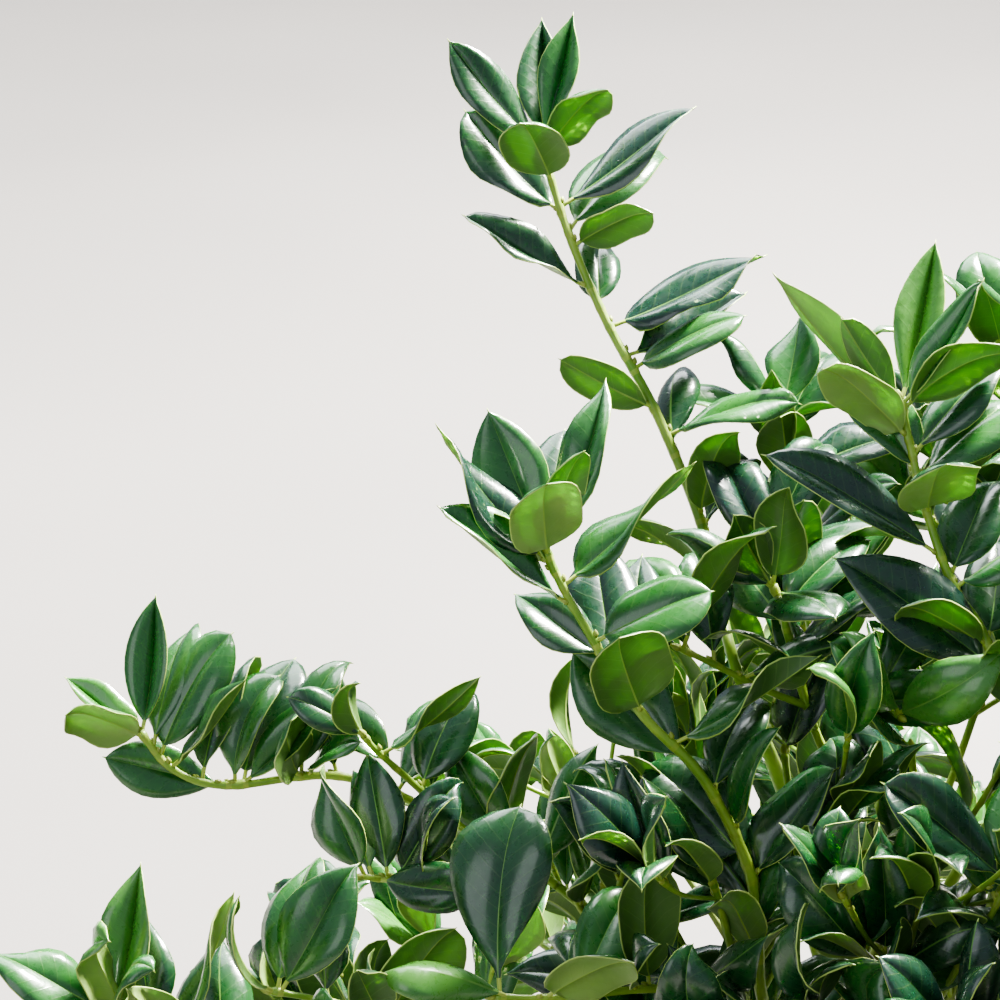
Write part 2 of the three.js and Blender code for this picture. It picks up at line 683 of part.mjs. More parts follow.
// The side twigs of a stem by rule: they leave it in turn round it, and bend upwards.
function ruledTwigs(mass, stem, random, bareFoot) {
  const made = [];
  const total = lengthsOf(stem).at(-1);
  const phase = random() * Math.PI * 2;
  for (let k = 0; k < TWIGS; k++) {
    const at = THREE.MathUtils.lerp(bareFoot, total, FIRST_TWIG + TWIG_STEP * k);
    const { point, tangent } = placeOn(stem, at);
    const longest = Math.min(TWIG_LENGTH, total * TWIG_SHARE) * (1 - TWIG_SHORTENED * k);
    const length = longest * spread(random, 1, TWIG_VARIED);
    for (const nudge of NUDGES) {
      const radial = sideOf(tangent).applyAxisAngle(tangent, phase + k * LEAF_TURN + nudge * 2);
      const out = tangent.clone().multiplyScalar(TWIG_ALONG).addScaledVector(radial, TWIG_OUT);
      out.addScaledVector(UP, TWIG_UP).normalize();
      const later = out.clone().addScaledVector(UP, TWIG_RISE).normalize();
      const bend = point.clone().addScaledVector(out, length / 2);
      const tip = bend.clone().addScaledVector(later, length / 2);
      const line = smooth([point, bend, tip], SPAN_STEPS);
      if (crowded(mass, line)) continue;
      addWood(mass, line, [TWIG_RADIUS, TIP_RADIUS]);
      made.push({ line, radii: [TWIG_RADIUS, TIP_RADIUS], bareFoot: BARE });
      break;
    }
  }
  return made;
}

const LEAF_GREEN = new THREE.MeshStandardMaterial({ name: "leaf_green", color: 0x1f4a22 });
const BARK = new THREE.MeshStandardMaterial({ name: "bark", color: 0x6f6a52 });

const bush = new THREE.Group();
bush.name = "holly_bush";

function addNode(name, shape, material) {
  const mesh = new THREE.Mesh(shape, material);
  mesh.name = name;
  bush.add(mesh);
}

// What other wood can fork from, by name: its line, and its solid grown by the gap to cut them by.
const grown = {};

function addTrunk() {
  const frames = framed(smooth(TRUNK_LINE.map((place) => new THREE.Vector3(...place)), TRUNK_STEPS));
  const shape = tube(frames, trunkRadius(0), TRUNK_SIDES);
  const corner = shape.getAttribute("position");
  const lowestRing = frames.line[1].z / 2;
  for (let i = 0; i < corner.count; i++) {
    if (corner.getZ(i) < lowestRing) corner.setZ(i, 0);
  }
  addNode("trunk", shape, BARK);
  addWood("wood", frames.line, [TRUNK_RADII[0] + FLARE_MEAN, TRUNK_RADII[1]]);
  const longer = stretch(frames, 0, frames.line.length, 0, -SEAT_GAP);
  const around = solid(tube(longer, trunkRadius(SEAT_GAP), TRUNK_SIDES));
  grown.trunk = { line: frames.line, around };
}

// Grows a line of wood from its parent through its joint with the foliage, if it has one, and out
// to its tip. The stretch up to the joint becomes a limb's node, and the rest is returned.
function growLimb(name, [from, at], radii, via, stemPoints) {
  const parent = grown[from];
  const foot = placeOn(parent.line, Math.min(at, lengthsOf(parent.line).at(-1) - SEAT_GAP)).point;
  const frames = framed(smooth([foot, ...via, ...stemPoints], SPAN_STEPS));
  if (!via.length) return { ...frames, around: parent.around };
  const joint = (via.length + 1) * SPAN_STEPS;
  const limb = stretch(frames, 0, joint + 1, 0, SEAT_GAP / 2);
  const made = solid(tube(limb, tapered(radii), LIMB_SIDES)).subtract(parent.around);
  addNode(name, shapeOf(biggest(made)), BARK);
  addWood("wood", limb.line, radii);
  const longer = stretch(limb, 0, limb.line.length, 0, -SEAT_GAP);
  const around = solid(tube(longer, tapered(radii, SEAT_GAP), LIMB_SIDES));
  grown[name] = { line: limb.line, around };
  return stretch(frames, joint, frames.line.length, SEAT_GAP / 2, 0);
}

// A mass of foliage: a stem, with its twigs to come.
function startMass(name, stem, radii, rows, random, bareFoot) {
  addWood(name, stem.line, radii);
  return { name, random, twigs: [{ line: stem.line, stem, radii, rows, bareFoot }], around: stem.around };
}

// The limbs and stems that the view shows, with the side twigs that it shows on them.
function growSeen({ key, from, radii, via }, order) {
  const shoot = SHOOTS[key];
  const name = `${key}_shoot`;
  const stem = growLimb(`${key}_limb`, from, radii, via.map(around), shoot.stem.map(seen));
  const stemRadii = [radii[1], STEM_TIP_RADIUS];
  const mass = startMass(name, stem, stemRadii, shoot.leaves, stream(order + 1), BARE);
  for (const { path, leaves: rows } of shoot.twigs) {
    const line = smooth(path.map(seen), SPAN_STEPS);
    const twigRadii = [(radii[1] + TWIG_RADIUS) / 2, TIP_RADIUS];
    addWood(name, line, twigRadii);
    mass.twigs.push({ line, radii: twigRadii, rows, bareFoot: BARE });
  }
  return mass;
}

// The height of the crown at an azimuth, as a share.
function crownShare(azimuth) {
  return 1 - CROWN_DIP * Math.max(0, Math.cos(THREE.MathUtils.degToRad(azimuth - CROWN_DIP_AZIMUTH)));
}

// The limbs and stems of a tier. A stem with no limb curves up from what it grows from.
function growTier({ key, azimuths, from, radii, joint, tip }) {
  return azimuths.map((azimuth, k) => {
    const random = stream(tip[0] * tip[1] + TIER_SEED * k);
    const vary = (size) => size * spread(random, 1, VARIED);
    const reach = vary(tip[0]);
    const height = vary(tip[1]) * crownShare(azimuth);
    const turned = spread(random, azimuth, VARIED_AZIMUTH);
    const parent = from[k % from.length];
    const foot = placeOn(grown[parent[0]].line, parent[1]).point;
    const end = around([turned, reach, height]);
    const name = `${key}_foliage_${k + 1}`;
    if (!joint) {
      const middle = foot.clone().lerp(end, 0.5).addScaledVector(UP, -SAG * height);
      const stem = growLimb(name, parent, radii, [], [middle, end]);
      const bareFoot = lengthsOf(stem.line).at(-1) * BARE_SHARE;
      return startMass(name, stem, [radii[0], STEM_TIP_RADIUS], null, random, bareFoot);
    }
    const jointReach = vary(joint[0]);
    const jointHeight = vary(joint[1]);
    const joined = around([turned, jointReach, jointHeight]);
    const limbRise = THREE.MathUtils.lerp(foot.z, jointHeight, LIMB_BEND[1]);
    const via = [around([azimuth, jointReach * LIMB_BEND[0], limbRise])];
    const bendReach = THREE.MathUtils.lerp(jointReach, reach, STEM_BEND[0]);
    const bendHeight = THREE.MathUtils.lerp(jointHeight, height, STEM_BEND[1]);
    const stemPoints = [joined, around([turned, bendReach, bendHeight]), end];
    const stem = growLimb(`${key}_limb_${k + 1}`, parent, radii, via, stemPoints);
    return startMass(name, stem, [radii[1], STEM_TIP_RADIUS], null, random, BARE);
  });
}

// The leaves of a twig: those that are seen, and the rest by rule, thinned out.
function growLeaves(mass, { line, rows, bareFoot }) {
  for (const row of rows ?? []) {
    const { leaf, tangent } = seenLeaf(line, row);
    growLeaf(leaf, tangent, mass.name, line);
  }
  const from = rows ? rows.at(-1)[0] + INTERNODE : 0;
  for (const { leaf, tangent, index } of ruledLeaves(line, mass.random, from, bareFoot)) {
    if (index % THINNED) continue;
    growLeaf({ ...leaf, length: leaf.length * THINNED_GROWTH }, tangent, mass.name, line);
  }
}

// A mass as one solid: its stem and twigs, with its leaves rooted in them.
function massSolid({ name, twigs, around }) {
  const tubes = twigs.map(({ line, stem, radii }) =>
    solid(tube(stem ?? framed(line), tapered(radii), TWIG_SIDES)),
  );
  const blades = leaves.filter((leaf) => leaf.mass === name).map(leafSolid);
  const made = wasm.Manifold.union([...tubes, ...blades]);
  return biggest((around ? made.subtract(around) : made).simplify(SLIVER));
}

// All the wood grows first, so that no leaf is where a limb passes, and the seen leaves next.
addTrunk();
const masses = [...LIMBS.map(growSeen), ...TIERS.flatMap(growTier)];
for (const mass of masses.slice(LIMBS.length)) {
  const [{ line, bareFoot }] = mass.twigs;
  mass.twigs.push(...ruledTwigs(mass.name, line, mass.random, bareFoot));
}
for (const mass of masses) for (const twig of mass.twigs) growLeaves(mass, twig);
for (const mass of masses) addNode(mass.name, shapeOf(massSolid(mass)), LEAF_GREEN);

export default bush;
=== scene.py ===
"""The looks of a young holly bush: trunk, limbs, stems and leaves, grown by the model's own rule.

The growth rule works in millimetres, as the model's source does. Meshes, lights and the camera are
in metres.
"""

import math
from dataclasses import dataclass, field, replace

import bpy
import numpy as np
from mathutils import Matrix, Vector, noise


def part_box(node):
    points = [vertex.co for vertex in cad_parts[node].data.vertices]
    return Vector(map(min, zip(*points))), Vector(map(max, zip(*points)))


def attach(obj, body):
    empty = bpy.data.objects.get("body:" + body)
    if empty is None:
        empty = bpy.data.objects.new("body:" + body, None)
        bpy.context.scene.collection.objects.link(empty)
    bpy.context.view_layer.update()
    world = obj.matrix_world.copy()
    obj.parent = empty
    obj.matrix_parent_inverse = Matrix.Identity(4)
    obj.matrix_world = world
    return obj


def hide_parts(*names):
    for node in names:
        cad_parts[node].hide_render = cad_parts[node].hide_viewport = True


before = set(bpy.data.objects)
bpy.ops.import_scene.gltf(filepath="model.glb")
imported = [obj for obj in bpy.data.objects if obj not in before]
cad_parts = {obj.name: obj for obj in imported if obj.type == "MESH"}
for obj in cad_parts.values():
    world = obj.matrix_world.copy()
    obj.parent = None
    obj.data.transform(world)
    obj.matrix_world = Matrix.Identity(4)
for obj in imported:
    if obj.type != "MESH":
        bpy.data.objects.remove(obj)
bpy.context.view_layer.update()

MM = 0.001

# The view that the visible shoots are laid out in: mm across, mm up and mm towards the viewer
# from a point in the bush's left half, looked down on from the front.
VIEW_CENTRE = np.array([-133.0, 0.0, 380.0])
VIEW_DISTANCE = 1300
VIEW_WIDTH = 350
VIEW_DROP = math.radians(22)
UP = np.array([0.0, 0.0, 1.0])
VIEW_RIGHT = np.array([1.0, 0.0, 0.0])
VIEW_UP = np.array([0.0, math.sin(VIEW_DROP), math.cos(VIEW_DROP)])
VIEW_TOWARDS = np.array([0.0, -math.cos(VIEW_DROP), math.sin(VIEW_DROP)])

# Leaves: their size, where they stand on a twig, how they lean and face, and how widely they vary.
LEAF_LENGTH, LEAF_BREADTH, LEAF_WIDEST = 48, 0.48, 0.54
LEAF_CUP, LEAF_RECURVE = 0.09, 0.1
LEAF_TURN = math.radians(137.5)
CLUSTER, CLUSTER_STEP, CLUSTER_SIZE = 4, 3.5, 0.86
INTERNODE, INTERNODE_VARIED = 13, 4
TIP_LEAN, FULL_LEAN, FULL_LEAN_LEAF, LEAN_VARIED = 24, 62, 7, 16
LEAF_LIFT, UPWARD, SHOWN = 0.3, 0.6, 2
LENGTH_VARIED, BREADTH_VARIED, FACING_VARIED = 0.26, 0.22, 0.8
LEAST_HEIGHT = 55
THINNED = 2

# The trunk, and its flare at the ground.
TRUNK_LINE = [(0, 0, 0), (1, 1, 40), (-2, 3, 85), (-5, 4, 128)]
TRUNK_RADII = (12, 7.5)
TRUNK_STEPS = 3
FLARE, FLARE_HEIGHT, FLARE_MEAN = 8, 16, 2
FLARE_LOBES, FLARE_RIDGE = 5, 0.4

# Limbs, stems and side twigs, and the finer twigs that the model leaves out. Of pairs, the first is
# for side twigs and the second for the finer ones: where the first leaves its parent and how far
# apart, as shares of the leafy length, their size and how much smaller each is than the last, their
# radii, and the room that they need.
SPAN_STEPS = 2
FINER = 4
STEM_TIP_RADIUS = 1.5
TWIG_LENGTH, TWIG_SHARE, TWIG_VARIED = 84, 0.7, 0.25
TWIGS, FINE_ON_STEM, FINE_ON_TWIG = 2, 4, 2
TWIG_FIRST, TWIG_STEP = (0.06, 0.2), (0.3, 0.22)
TWIG_SIZE, TWIG_SHORTENED = (1, 0.6), (0.16, 0)
TWIG_RADII = ((1.7, 1.2), (1.2, 1.2))
TWIG_ROOM = (9, 3.2)
TWIG_ALONG, TWIG_OUT, TWIG_UP, TWIG_RISE = 0.7, 0.8, 0.15, 0.4
STEEP = 0.9
FINE_SEED = 40503
LEAST_LEAVES = 2

# Clearances, and how far leaves may reach out of their mass's box in the model.
SEAT_GAP, LEAF_GAP, WOOD_GAP = 0.3, 1.6, 1.2
OWN_ROOT, FREE_ROOT = 0.3, 0.05
LEAST_SCALE = 1e-9
NUDGES = [math.radians(turn) for turn in (0, 18, -18, 36, -36, 54)]
SEEN_NUDGES = [math.radians(turn) for turn in (0, 5, -5, 11, -11, 18, -18, 27, -27, 36, -36, 54)]
REACH_SPARE, SEEN_SPARE = 3, 14

# Where the view shows through the foliage: mm across and up in it, and a radius. The shoots whose
# stems show in it, how wide they stay clear, and where a leaf is tested for both, in shares.
OPEN_PLACES = np.array([
    (-17, -42, 24), (0, -52, 21), (14, -66, 14), (2, -82, 8), (13, -114, 4.5), (39, -117, 4.5),
    (66, -58, 7), (145, -68, 5.6), (161, -86, 9), (170, -77, 5), (-10, -150, 10), (-17, -170, 9),
    (-21, -133, 4), (46, 14, 10),
])
STEMS_SHOWN = ("tall", "middle", "right", "left")
STEM_CLEAR = 4
LEAF_TESTS = [(share, side) for share in (0.2, 0.4, 0.6, 0.8, 1) for side in (-0.8, 0, 0.8)]

# Forms of blades that stand out: radians of bend, curl, fold, roll, twist and sway, the power that
# the twist grows by, how square the tip's shoulders are, how wedge-like the base is, waves as a
# share of the length, and the number of its green. Where SHADED, SUNLIT and SICKLE give that
# number it paints light and shade: SHADED gives a leaf in shade the darkest green as painted
# shade, and SUNLIT and SICKLE give sunlit leaves a bright green as painted sunlight.
CUPPED = dict(bend=-0.4, curl=0.1, fold=-0.85, roll=0.95, twist=0.2, sway=0.1)
SWEPT = dict(bend=-0.55, curl=0.2, fold=-0.4, twist=0.25, sway=0)
WAVED = dict(bend=-0.25, curl=0.2, fold=-0.45, wave=0.045, twist=0.35, sway=0, tone=0)
STRAIGHT = dict(bend=0.1, curl=0.3, fold=-0.5, twist=0.3, sway=0, tone=0)
ROUNDED = dict(bend=0.3, curl=0.55, fold=-0.15, twist=0, sway=0, square=0.9, base=0.2)
BROAD = dict(bend=0.2, curl=0.5, fold=-0.1, roll=0.9, twist=0, sway=0.1, square=1, base=0)
BLUNT = dict(bend=0.35, curl=0.25, fold=-0.3, twist=0.1, square=0.8, base=0.2)
SPOON = dict(bend=0.4, curl=0.5, fold=-0.25, twist=0.1, sway=-0.25, square=1, base=1, tone=1)
ARCHED = dict(bend=0.9, curl=0.3, fold=-0.3, twist=0.1, sway=0.1)
# SUNLIT gives a sunlit leaf a bright green: painted sunlight.
SUNLIT = dict(BLUNT, tone=2)
# SHADED gives a leaf that stands in shade the darkest green: painted shade.
SHADED = dict(bend=0.1, curl=0.3, fold=-0.25, twist=0.1, sway=0, tone=0)
# SICKLE's bright green paints sunlight on its leaf.
SICKLE = dict(bend=0.2, curl=0.3, fold=-0.7, twist=0.3, sway=0.7, tone=2)
TURNED = dict(bend=-0.4, curl=0.1, fold=-0.5, twist=2, turning=2, square=0.2)
TURNED_BACK = dict(TURNED, twist=-2, tone=0)

# Shoots laid out as they are seen: the stem and its leaves, then each side twig and its leaves. A
# line holds places in the view, from its foot out to its tip. A leaf's row holds: mm back from the
# tip, heading, degrees towards the viewer, how far its upper side is turned to the viewer, length,
# breadth, and the form of its blade, where that stands out.
SHOOTS = {
    "tall": [
        ([
            (84, -63, -15), (77, -37, -26), (70, -7, -38), (54, 32, -46), (38, 61, -52), (24, 93, -57),
            (14, 126, -60),
        ], [
            (1, 77, -10, 1, 51, 0.34, CUPPED), (2, 90, -22, 0.9, 54, 0.36, CUPPED),
            (3, 129, 0, 0.6, 52, 0.37, SWEPT), (5, 46, 34, -0.5, 38, 0.52, ROUNDED),
            (16, 120, 52, 0, 38, 0.64, ROUNDED), (26, 40, -5, 0.5, 62, 0.42, WAVED),
            (28, 130, -15, 0.4, 55, 0.42, SWEPT), (36, 43, -35, 0.5, 62, 0.42),
            (41, 24, 24, -0.7, 34, 0.58, ROUNDED), (58, 147, 0, 0.35, 53, 0.36, CUPPED),
            (66, 89, -42, 0.6, 38, 0.44), (74, 28, -5, 0.6, 63, 0.44, WAVED),
            (86, 31, -25, 0.8, 58, 0.44, CUPPED), (92, 29, 15, 0.5, 45, 0.52, BLUNT),
            (108, 152, 15, -1.2, 40, 0.4, SWEPT), (126, 82, -40, 0.8, 44), (120, 18, 8, 0.1, 49),
            (152, 70, 30, -0.4, 40), (156, 50, -40, 0.6, 40),
        ]),
    ],
    "middle": [
        ([
            (92, -175, 20), (90, -147, 26), (86, -126, 30), (70, -96, 36), (49, -74, 42), (26, -38, 48),
            (14, -14, 50),
        ], [
            (2, 71, -8, 0.6, 62, 0.3, SICKLE), (3, 81, -30, 0.7, 49, 0.48, SHADED),
            (5, 73, 22, -0.5, 40, 0.38, ROUNDED), (6, 93, 50, -0.3, 41, 0.58, BROAD),
            (7, 112, -12, 0.9, 56, 0.44, SWEPT), (9, 128, 5, 0.5, 60, 0.4, TURNED_BACK),
            (12, 140, -8, -0.4, 36), (18, 46, 5, 0.5, 60, 0.4, TURNED), (25, 142, 5, 0.5, 57, 0.4, CUPPED),
            (40, 26, 8, 0.9, 43, 0.58, SUNLIT), (46, 143, -20, 0.6, 40),
            (52, 98, -35, 0.6, 56, 0.44, SHADED), (60, 84, -30, 0.7, 56, 0.48, SHADED),
            (69, 109, 47, -0.4, 45, 0.62, BROAD), (84, 35, 10, 0.2, 58, 0.42, TURNED),
            (95, 136, -8, 0.7, 57, 0.52, SWEPT), (108, 64, -34, 0.6, 46), (122, 73, 25, 0.3, 43),
            (134, 134, -18, 0.9, 50, 0.6, BROAD), (140, 56, -5, 0.4, 48, 0.5), (150, 131, -25, 0.7, 44),
            (158, 20, 36, 0, 40), (168, 118, 42, 0, 38),
        ]),
        ([(92, -163, 22), (70, -170, 32), (49, -171, 44), (21, -174, 54), (-2, -174, 60)], [
            (2, 85, -6, 1.4, 64, 0.54, SPOON), (5, 165, 20, 0.3, 44), (18, 30, 30, -1, 38, 0.62, BROAD),
            (30, 60, -32, 0.8, 46), (56, 92, 12, -1, 45, 0.56, ROUNDED), (52, 80, 54, 0, 32),
            (64, 110, -36, 0.8, 44), (74, 74, 20, 0.2, 44),
        ]),
    ],
    "right": [
        ([(182, -95, 25), (170, -49, 23), (159, -31, 21), (149, -3, 18), (140, 35, 15)], [
            (1, 77, -12, 1, 60, 0.32, CUPPED), (2, 60, 8, 0.5, 51, 0.32, CUPPED),
            (4, 30, 18, -0.7, 45, 0.5, ARCHED), (3, 125, 18, -0.9, 40, 0.38, CUPPED),
            (5, 130, 0, -0.4, 65, 0.3, CUPPED), (14, 140, 22, -0.5, 43, 0.46, ROUNDED),
            (20, 45, -15, 0.5, 50), (26, 129, -25, 0.5, 40), (28, 31, -25, 0.4, 52),
            (40, 84, 62, 0, 40, 0.66, BROAD), (56, 147, 6, 0.4, 70, 0.36, STRAIGHT), (64, 62, -30, 0.6, 46),
            (68, 32, 10, 0.2, 42), (92, 153, 30, -0.5, 42, 0.5, ROUNDED), (90, 80, -36, 0.8, 46),
            (101, 143, 8, 0.8, 68, 0.44, STRAIGHT), (104, 36, 12, 0.4, 48), (116, 100, 44, 0, 42),
            (124, 10, -10, 0.3, 46),
        ]),
    ],
    "left": [
        ([
            (20, -135, -30), (-10, -116, -28), (-54, -97, -26), (-96, -100, -25), (-115, -94, -24),
            (-126, -81, -23),
        ], [
            (1, 86, -5, 1.1, 49, 0.38, CUPPED), (2, 142, -12, 0.1, 36, 0.38, CUPPED),
            (3, 156, 36, -0.5, 35, 0.6, ROUNDED), (8, 74, -25, 0.9, 50), (12, 63, -4, 0.7, 51, 0.52, BLUNT),
            (17, 53, 20, 0.3, 49, 0.34, CUPPED), (30, 67, -30, 0.6, 47), (38, 166, 6, 0.5, 44, 0.44, SWEPT),
            (42, 71, -5, 0.7, 42), (45, 72, -20, 0.9, 53, 0.54, BLUNT), (44, 50, 10, 0.4, 51, 0.38, CUPPED),
            (64, 98, 52, -0.2, 37, 0.56, BROAD), (65, 69, -15, 0.6, 46), (67, 40, 45, -0.3, 34),
            (78, 93, -20, 0.9, 44), (88, 128, 24, 0, 36), (100, 60, -30, 0.8, 44), (140, 74, 15, -0.5, 44),
            (146, 120, 0, 0.6, 42), (158, 66, -6, 1, 50),
        ]),
        ([(-12, -115, -28), (-24, -105, -18), (-43, -88, -6), (-48, -82, 0)], [
            (1, 150, 10, 0.2, 30), (3, 100, 40, 0, 28), (12, 42, 5, -0.2, 44, 0.38, TURNED),
            (20, 140, -30, 0.5, 38), (32, 66, -15, 1, 42, 0.5, BLUNT), (37, 72, -32, 0.6, 50),
        ]),
        ([(12, -131, -29), (-14, -131, -14), (-35, -133, -2), (-48, -132, 4)], [
            (1, 112, -5, 0.8, 42, 0.5), (4, 104, -30, 0.7, 44), (10, 101, -8, 0.9, 45, 0.42),
            (13, 58, 0, 0.7, 41), (6, -6, 20, 0.4, 36), (24, 76, 40, 0, 40), (40, 128, -20, 0.6, 40),
        ]),
    ],
    "lower_left": [
        ([(-10, -215, 40), (-60, -205, 50), (-105, -195, 55), (-138, -180, 60)], [
            (2, 81, -5, 1.3, 51, 0.4, CUPPED), (4, 58, 40, -0.2, 32), (3, 149, 10, 0.4, 46),
            (6, 156, -20, 0.4, 44), (12, 120, 48, 0, 40), (20, 100, -18, 0.8, 44),
            (24, 70, 5, 0.3, 55, 0.4, TURNED), (34, 130, 34, 0, 42), (44, 96, -30, 0.7, 46),
            (58, 150, 20, 0.2, 44), (74, 80, 40, 0, 42), (90, 60, -30, 0.6, 44), (104, 140, 10, 0.4, 44),
        ]),
        ([(-24, -212, 42), (-44, -182, 52), (-64, -175, 58), (-80, -172, 62)], [
            (1, 112, 30, 0.2, 40), (2, 77, -20, 0.9, 47, 0.5), (3, 61, 2, 0.9, 50, 0.52),
            (6, 150, 10, 0.3, 42), (20, 84, -14, 0.4, 42), (42, 56, 10, -1, 42, 0.66, BROAD),
            (44, 100, 40, 0, 40), (52, 20, -10, 0.4, 42),
        ]),
    ],
    "front": [
        ([(150, -190, 34), (146, -178, 44), (136, -168, 54), (126, -160, 60)], [
            (1, 97, -20, 0.8, 34), (2, 60, -5, 1, 45, 0.42), (4, 131, 12, 1, 46, 0.52), (8, 150, 40, 0, 40),
            (14, 30, 24, 0.3, 42), (20, 100, 50, 0, 40), (28, 70, -30, 0.8, 44),
        ]),
        ([(148, -184, 40), (162, -160, 56), (172, -145, 64), (178, -133, 66)], [
            (1, 139, 12, 0.9, 54, 0.44, STRAIGHT), (2, 80, -20, 0.8, 44), (3, 40, 10, 0.4, 46),
            (9, 120, -30, 0.6, 40), (20, 150, 36, 0, 42), (24, 20, -10, 0.4, 46), (36, 131, 30, -0.5, 40),
        ]),
    ],
    "inner": [
        ([(110, -80, 0), (102, -52, 6), (98, -36, 10), (95, -29, 12)], [
            (1, 84, 25, -0.8, 40, 0.6), (2, 120, 35, -0.5, 38), (3, 150, 5, 0.6, 42),
            (5, 10, 45, -0.2, 46, 0.58, ROUNDED), (12, 40, -24, 0.8, 46), (18, 130, -30, 0.8, 44),
            (26, 30, 20, 0.4, 44), (38, 150, 30, 0.2, 44),
        ]),
        ([(105, -62, 3), (100, -40, -10), (96, -20, -16), (94, -12, -17)], [
            (1, 92, -4, 1.3, 47, 0.52), (4, 60, -25, 0.8, 46), (8, 120, -30, 0.7, 44), (14, 20, 8, 0.5, 44),
        ]),
        ([(108, -72, 1), (92, -66, 10), (76, -58, 18), (63, -52, 22)], [
            (1, 57, 25, -0.7, 56, 0.46), (2, 150, -20, 0.8, 50, 0.5, SHADED), (4, 120, -30, 0.7, 44),
            (7, 135, -10, 0.8, 52, 0.48, SHADED), (14, 96, -30, 0.8, 42), (26, 30, -20, 0.6, 44),
        ]),
        ([(107, -70, 2), (122, -70, 12), (134, -72, 22), (140, -76, 30)], [
            (1, 84, 20, -0.4, 42, 0.6), (3, 20, 20, 0.4, 44), (8, 130, 40, 0, 40), (16, 60, -30, 0.8, 44),
            (26, -10, 20, 0.4, 40),
        ]),
    ],
    "back": [
        ([(112, -66, -58), (106, -30, -66), (101, 4, -72), (98, 30, -75)], [
            (1, 78, -20, 0.9, 42), (2, 124, 0, 0, 40), (3, 5, 20, -0.2, 40), (5, 174, 5, 0.5, 44),
            (10, 60, -30, 0.8, 46), (16, 140, 20, 0.2, 46), (24, 20, -10, 0.7, 50), (32, 100, 40, -0.2, 42),
            (42, 150, -16, 0.6, 46), (52, 40, 20, 0.2, 46), (64, 120, -30, 0.8, 46), (76, 16, -20, 0.7, 46),
        ]),
    ],
}

# The limbs that carry those shoots, in the order that they fork: what each leaves and how far
# along it, its radius there and at its tip, and the azimuth, reach and height that it passes.
LIMBS = {
    "tall": (("trunk", 128), (7, 3.2), [(120, 12, 180), (165, 26, 250)]),
    "middle": (("trunk", 84), (5.6, 3.4), [(250, 42, 140), (249, 74, 185)]),
    "right": (("trunk", 108), (5.4, 3), [(330, 30, 170), (318, 56, 240)]),
    "left": (("trunk", 98), (5, 2.9), [(184, 40, 150), (188, 78, 200)]),
    "lower_left": (("trunk", 58), (4.8, 2.8), [(216, 50, 100), (218, 112, 146)]),
    "front": (("right_limb", 60), (3.6, 2.6), [(285, 66, 186)]),
    "inner": (("tall_limb", 96), (3.6, 2.6), [(255, 24, 262)]),
    "back": (("tall_limb", 60), (3.8, 2.6), [(112, 26, 236)]),
}

# The foliage that the view hides or cuts off stands in tiers round the trunk. A tier holds the
# azimuths of its masses, what they grow from and how far along it, dealt out in turn, the radii at
# the foot and the joint, and the reach and height of the joint between limb and stem, where there is
# a limb, and of the stem's tip.
TIERS = {
    "low": (
        (352, 35, 80, 125, 165, 250, 305), [("trunk", 38), ("trunk", 50)],
        (4.2, 2.4), (118, 112), (236, 168),
    ),
    "mid": (
        (5, 42, 87, 124, 292), [("trunk", 70), ("trunk", 84)],
        (4.4, 2.5), (100, 195), (190, 300),
    ),
    "high": (
        (12, 58, 340), [("right_limb", 40), ("tall_limb", 30), ("right_limb", 88)],
        (3.8, 2.5), (66, 262), (124, 420),
    ),
    "inner": (
        (207, 229, 270, 314),
        [("left_limb", 66), ("middle_limb", 40), ("middle_limb", 80), ("right_limb", 24)],
        (3, 2.4), None, (112, 268),
    ),
    "core": ((225, 285), [("tall_limb", 44), ("right_limb", 96)], (2.8, 2.4), None, (48, 325)),
}
VARIED, VARIED_AZIMUTH = 0.13, 16
CROWN_DIP, CROWN_DIP_AZIMUTH = 0.26, 140
TIER_SEED = 971
LIMB_BEND, STEM_BEND, SAG = (0.45, 0.55), (0.55, 0.4), 0.08
BARE, BARE_SHARE = 14, 0.42


def seen(across, up, towards):
    """A point by how it is seen: mm across, up and towards the viewer."""
    spread_out = 1 - towards / VIEW_DISTANCE
    in_plane = VIEW_RIGHT * across * spread_out + VIEW_UP * up * spread_out
    return VIEW_CENTRE + in_plane + VIEW_TOWARDS * towards


def heading(turn, towards):
    """A direction by how it is seen: degrees anticlockwise from the right, and towards the viewer."""
    a, b = math.radians(turn), math.radians(towards)
    in_plane = VIEW_RIGHT * math.cos(a) + VIEW_UP * math.sin(a)
    return in_plane * math.cos(b) + VIEW_TOWARDS * math.sin(b)


def in_view(points):
    """Where places show in the view, in mm at its middle, and how far towards the viewer they are."""
    rel = points - VIEW_CENTRE
    near = rel @ VIEW_TOWARDS
    grows = VIEW_DISTANCE / (VIEW_DISTANCE - near)
    return np.stack([rel @ VIEW_RIGHT * grows, rel @ VIEW_UP * grows, near], axis=-1)


def in_opening(points):
    """True if any of these places shows in an open place of the view."""
    apart = np.linalg.norm(in_view(points)[:, None, :2] - OPEN_PLACES[:, :2], axis=-1)
    return (apart < OPEN_PLACES[:, 2]).any()


def around(azimuth, reach, height):
    """A point round the trunk: degrees from +X, distance from the axis, height."""
    a = math.radians(azimuth)
    return np.array([reach * math.cos(a), reach * math.sin(a), height])


def stream(seed):
    """A repeatable stream of numbers from 0 to 1."""
    state = seed % 2**32

    def draw():
        nonlocal state
        state = (state * 1664525 + 1013904223) % 2**32
        return state / 2**32

    return draw


def spread(draw, middle, width):
    return middle + (draw() - 0.5) * width


def between(start, end, share):
    return start + (end - start) * share


def unit(v):
    return v / np.linalg.norm(v)


def square_to(v, d):
    """The part of v that is square to the unit vector d, at unit length."""
    return unit(v - d * v.dot(d))


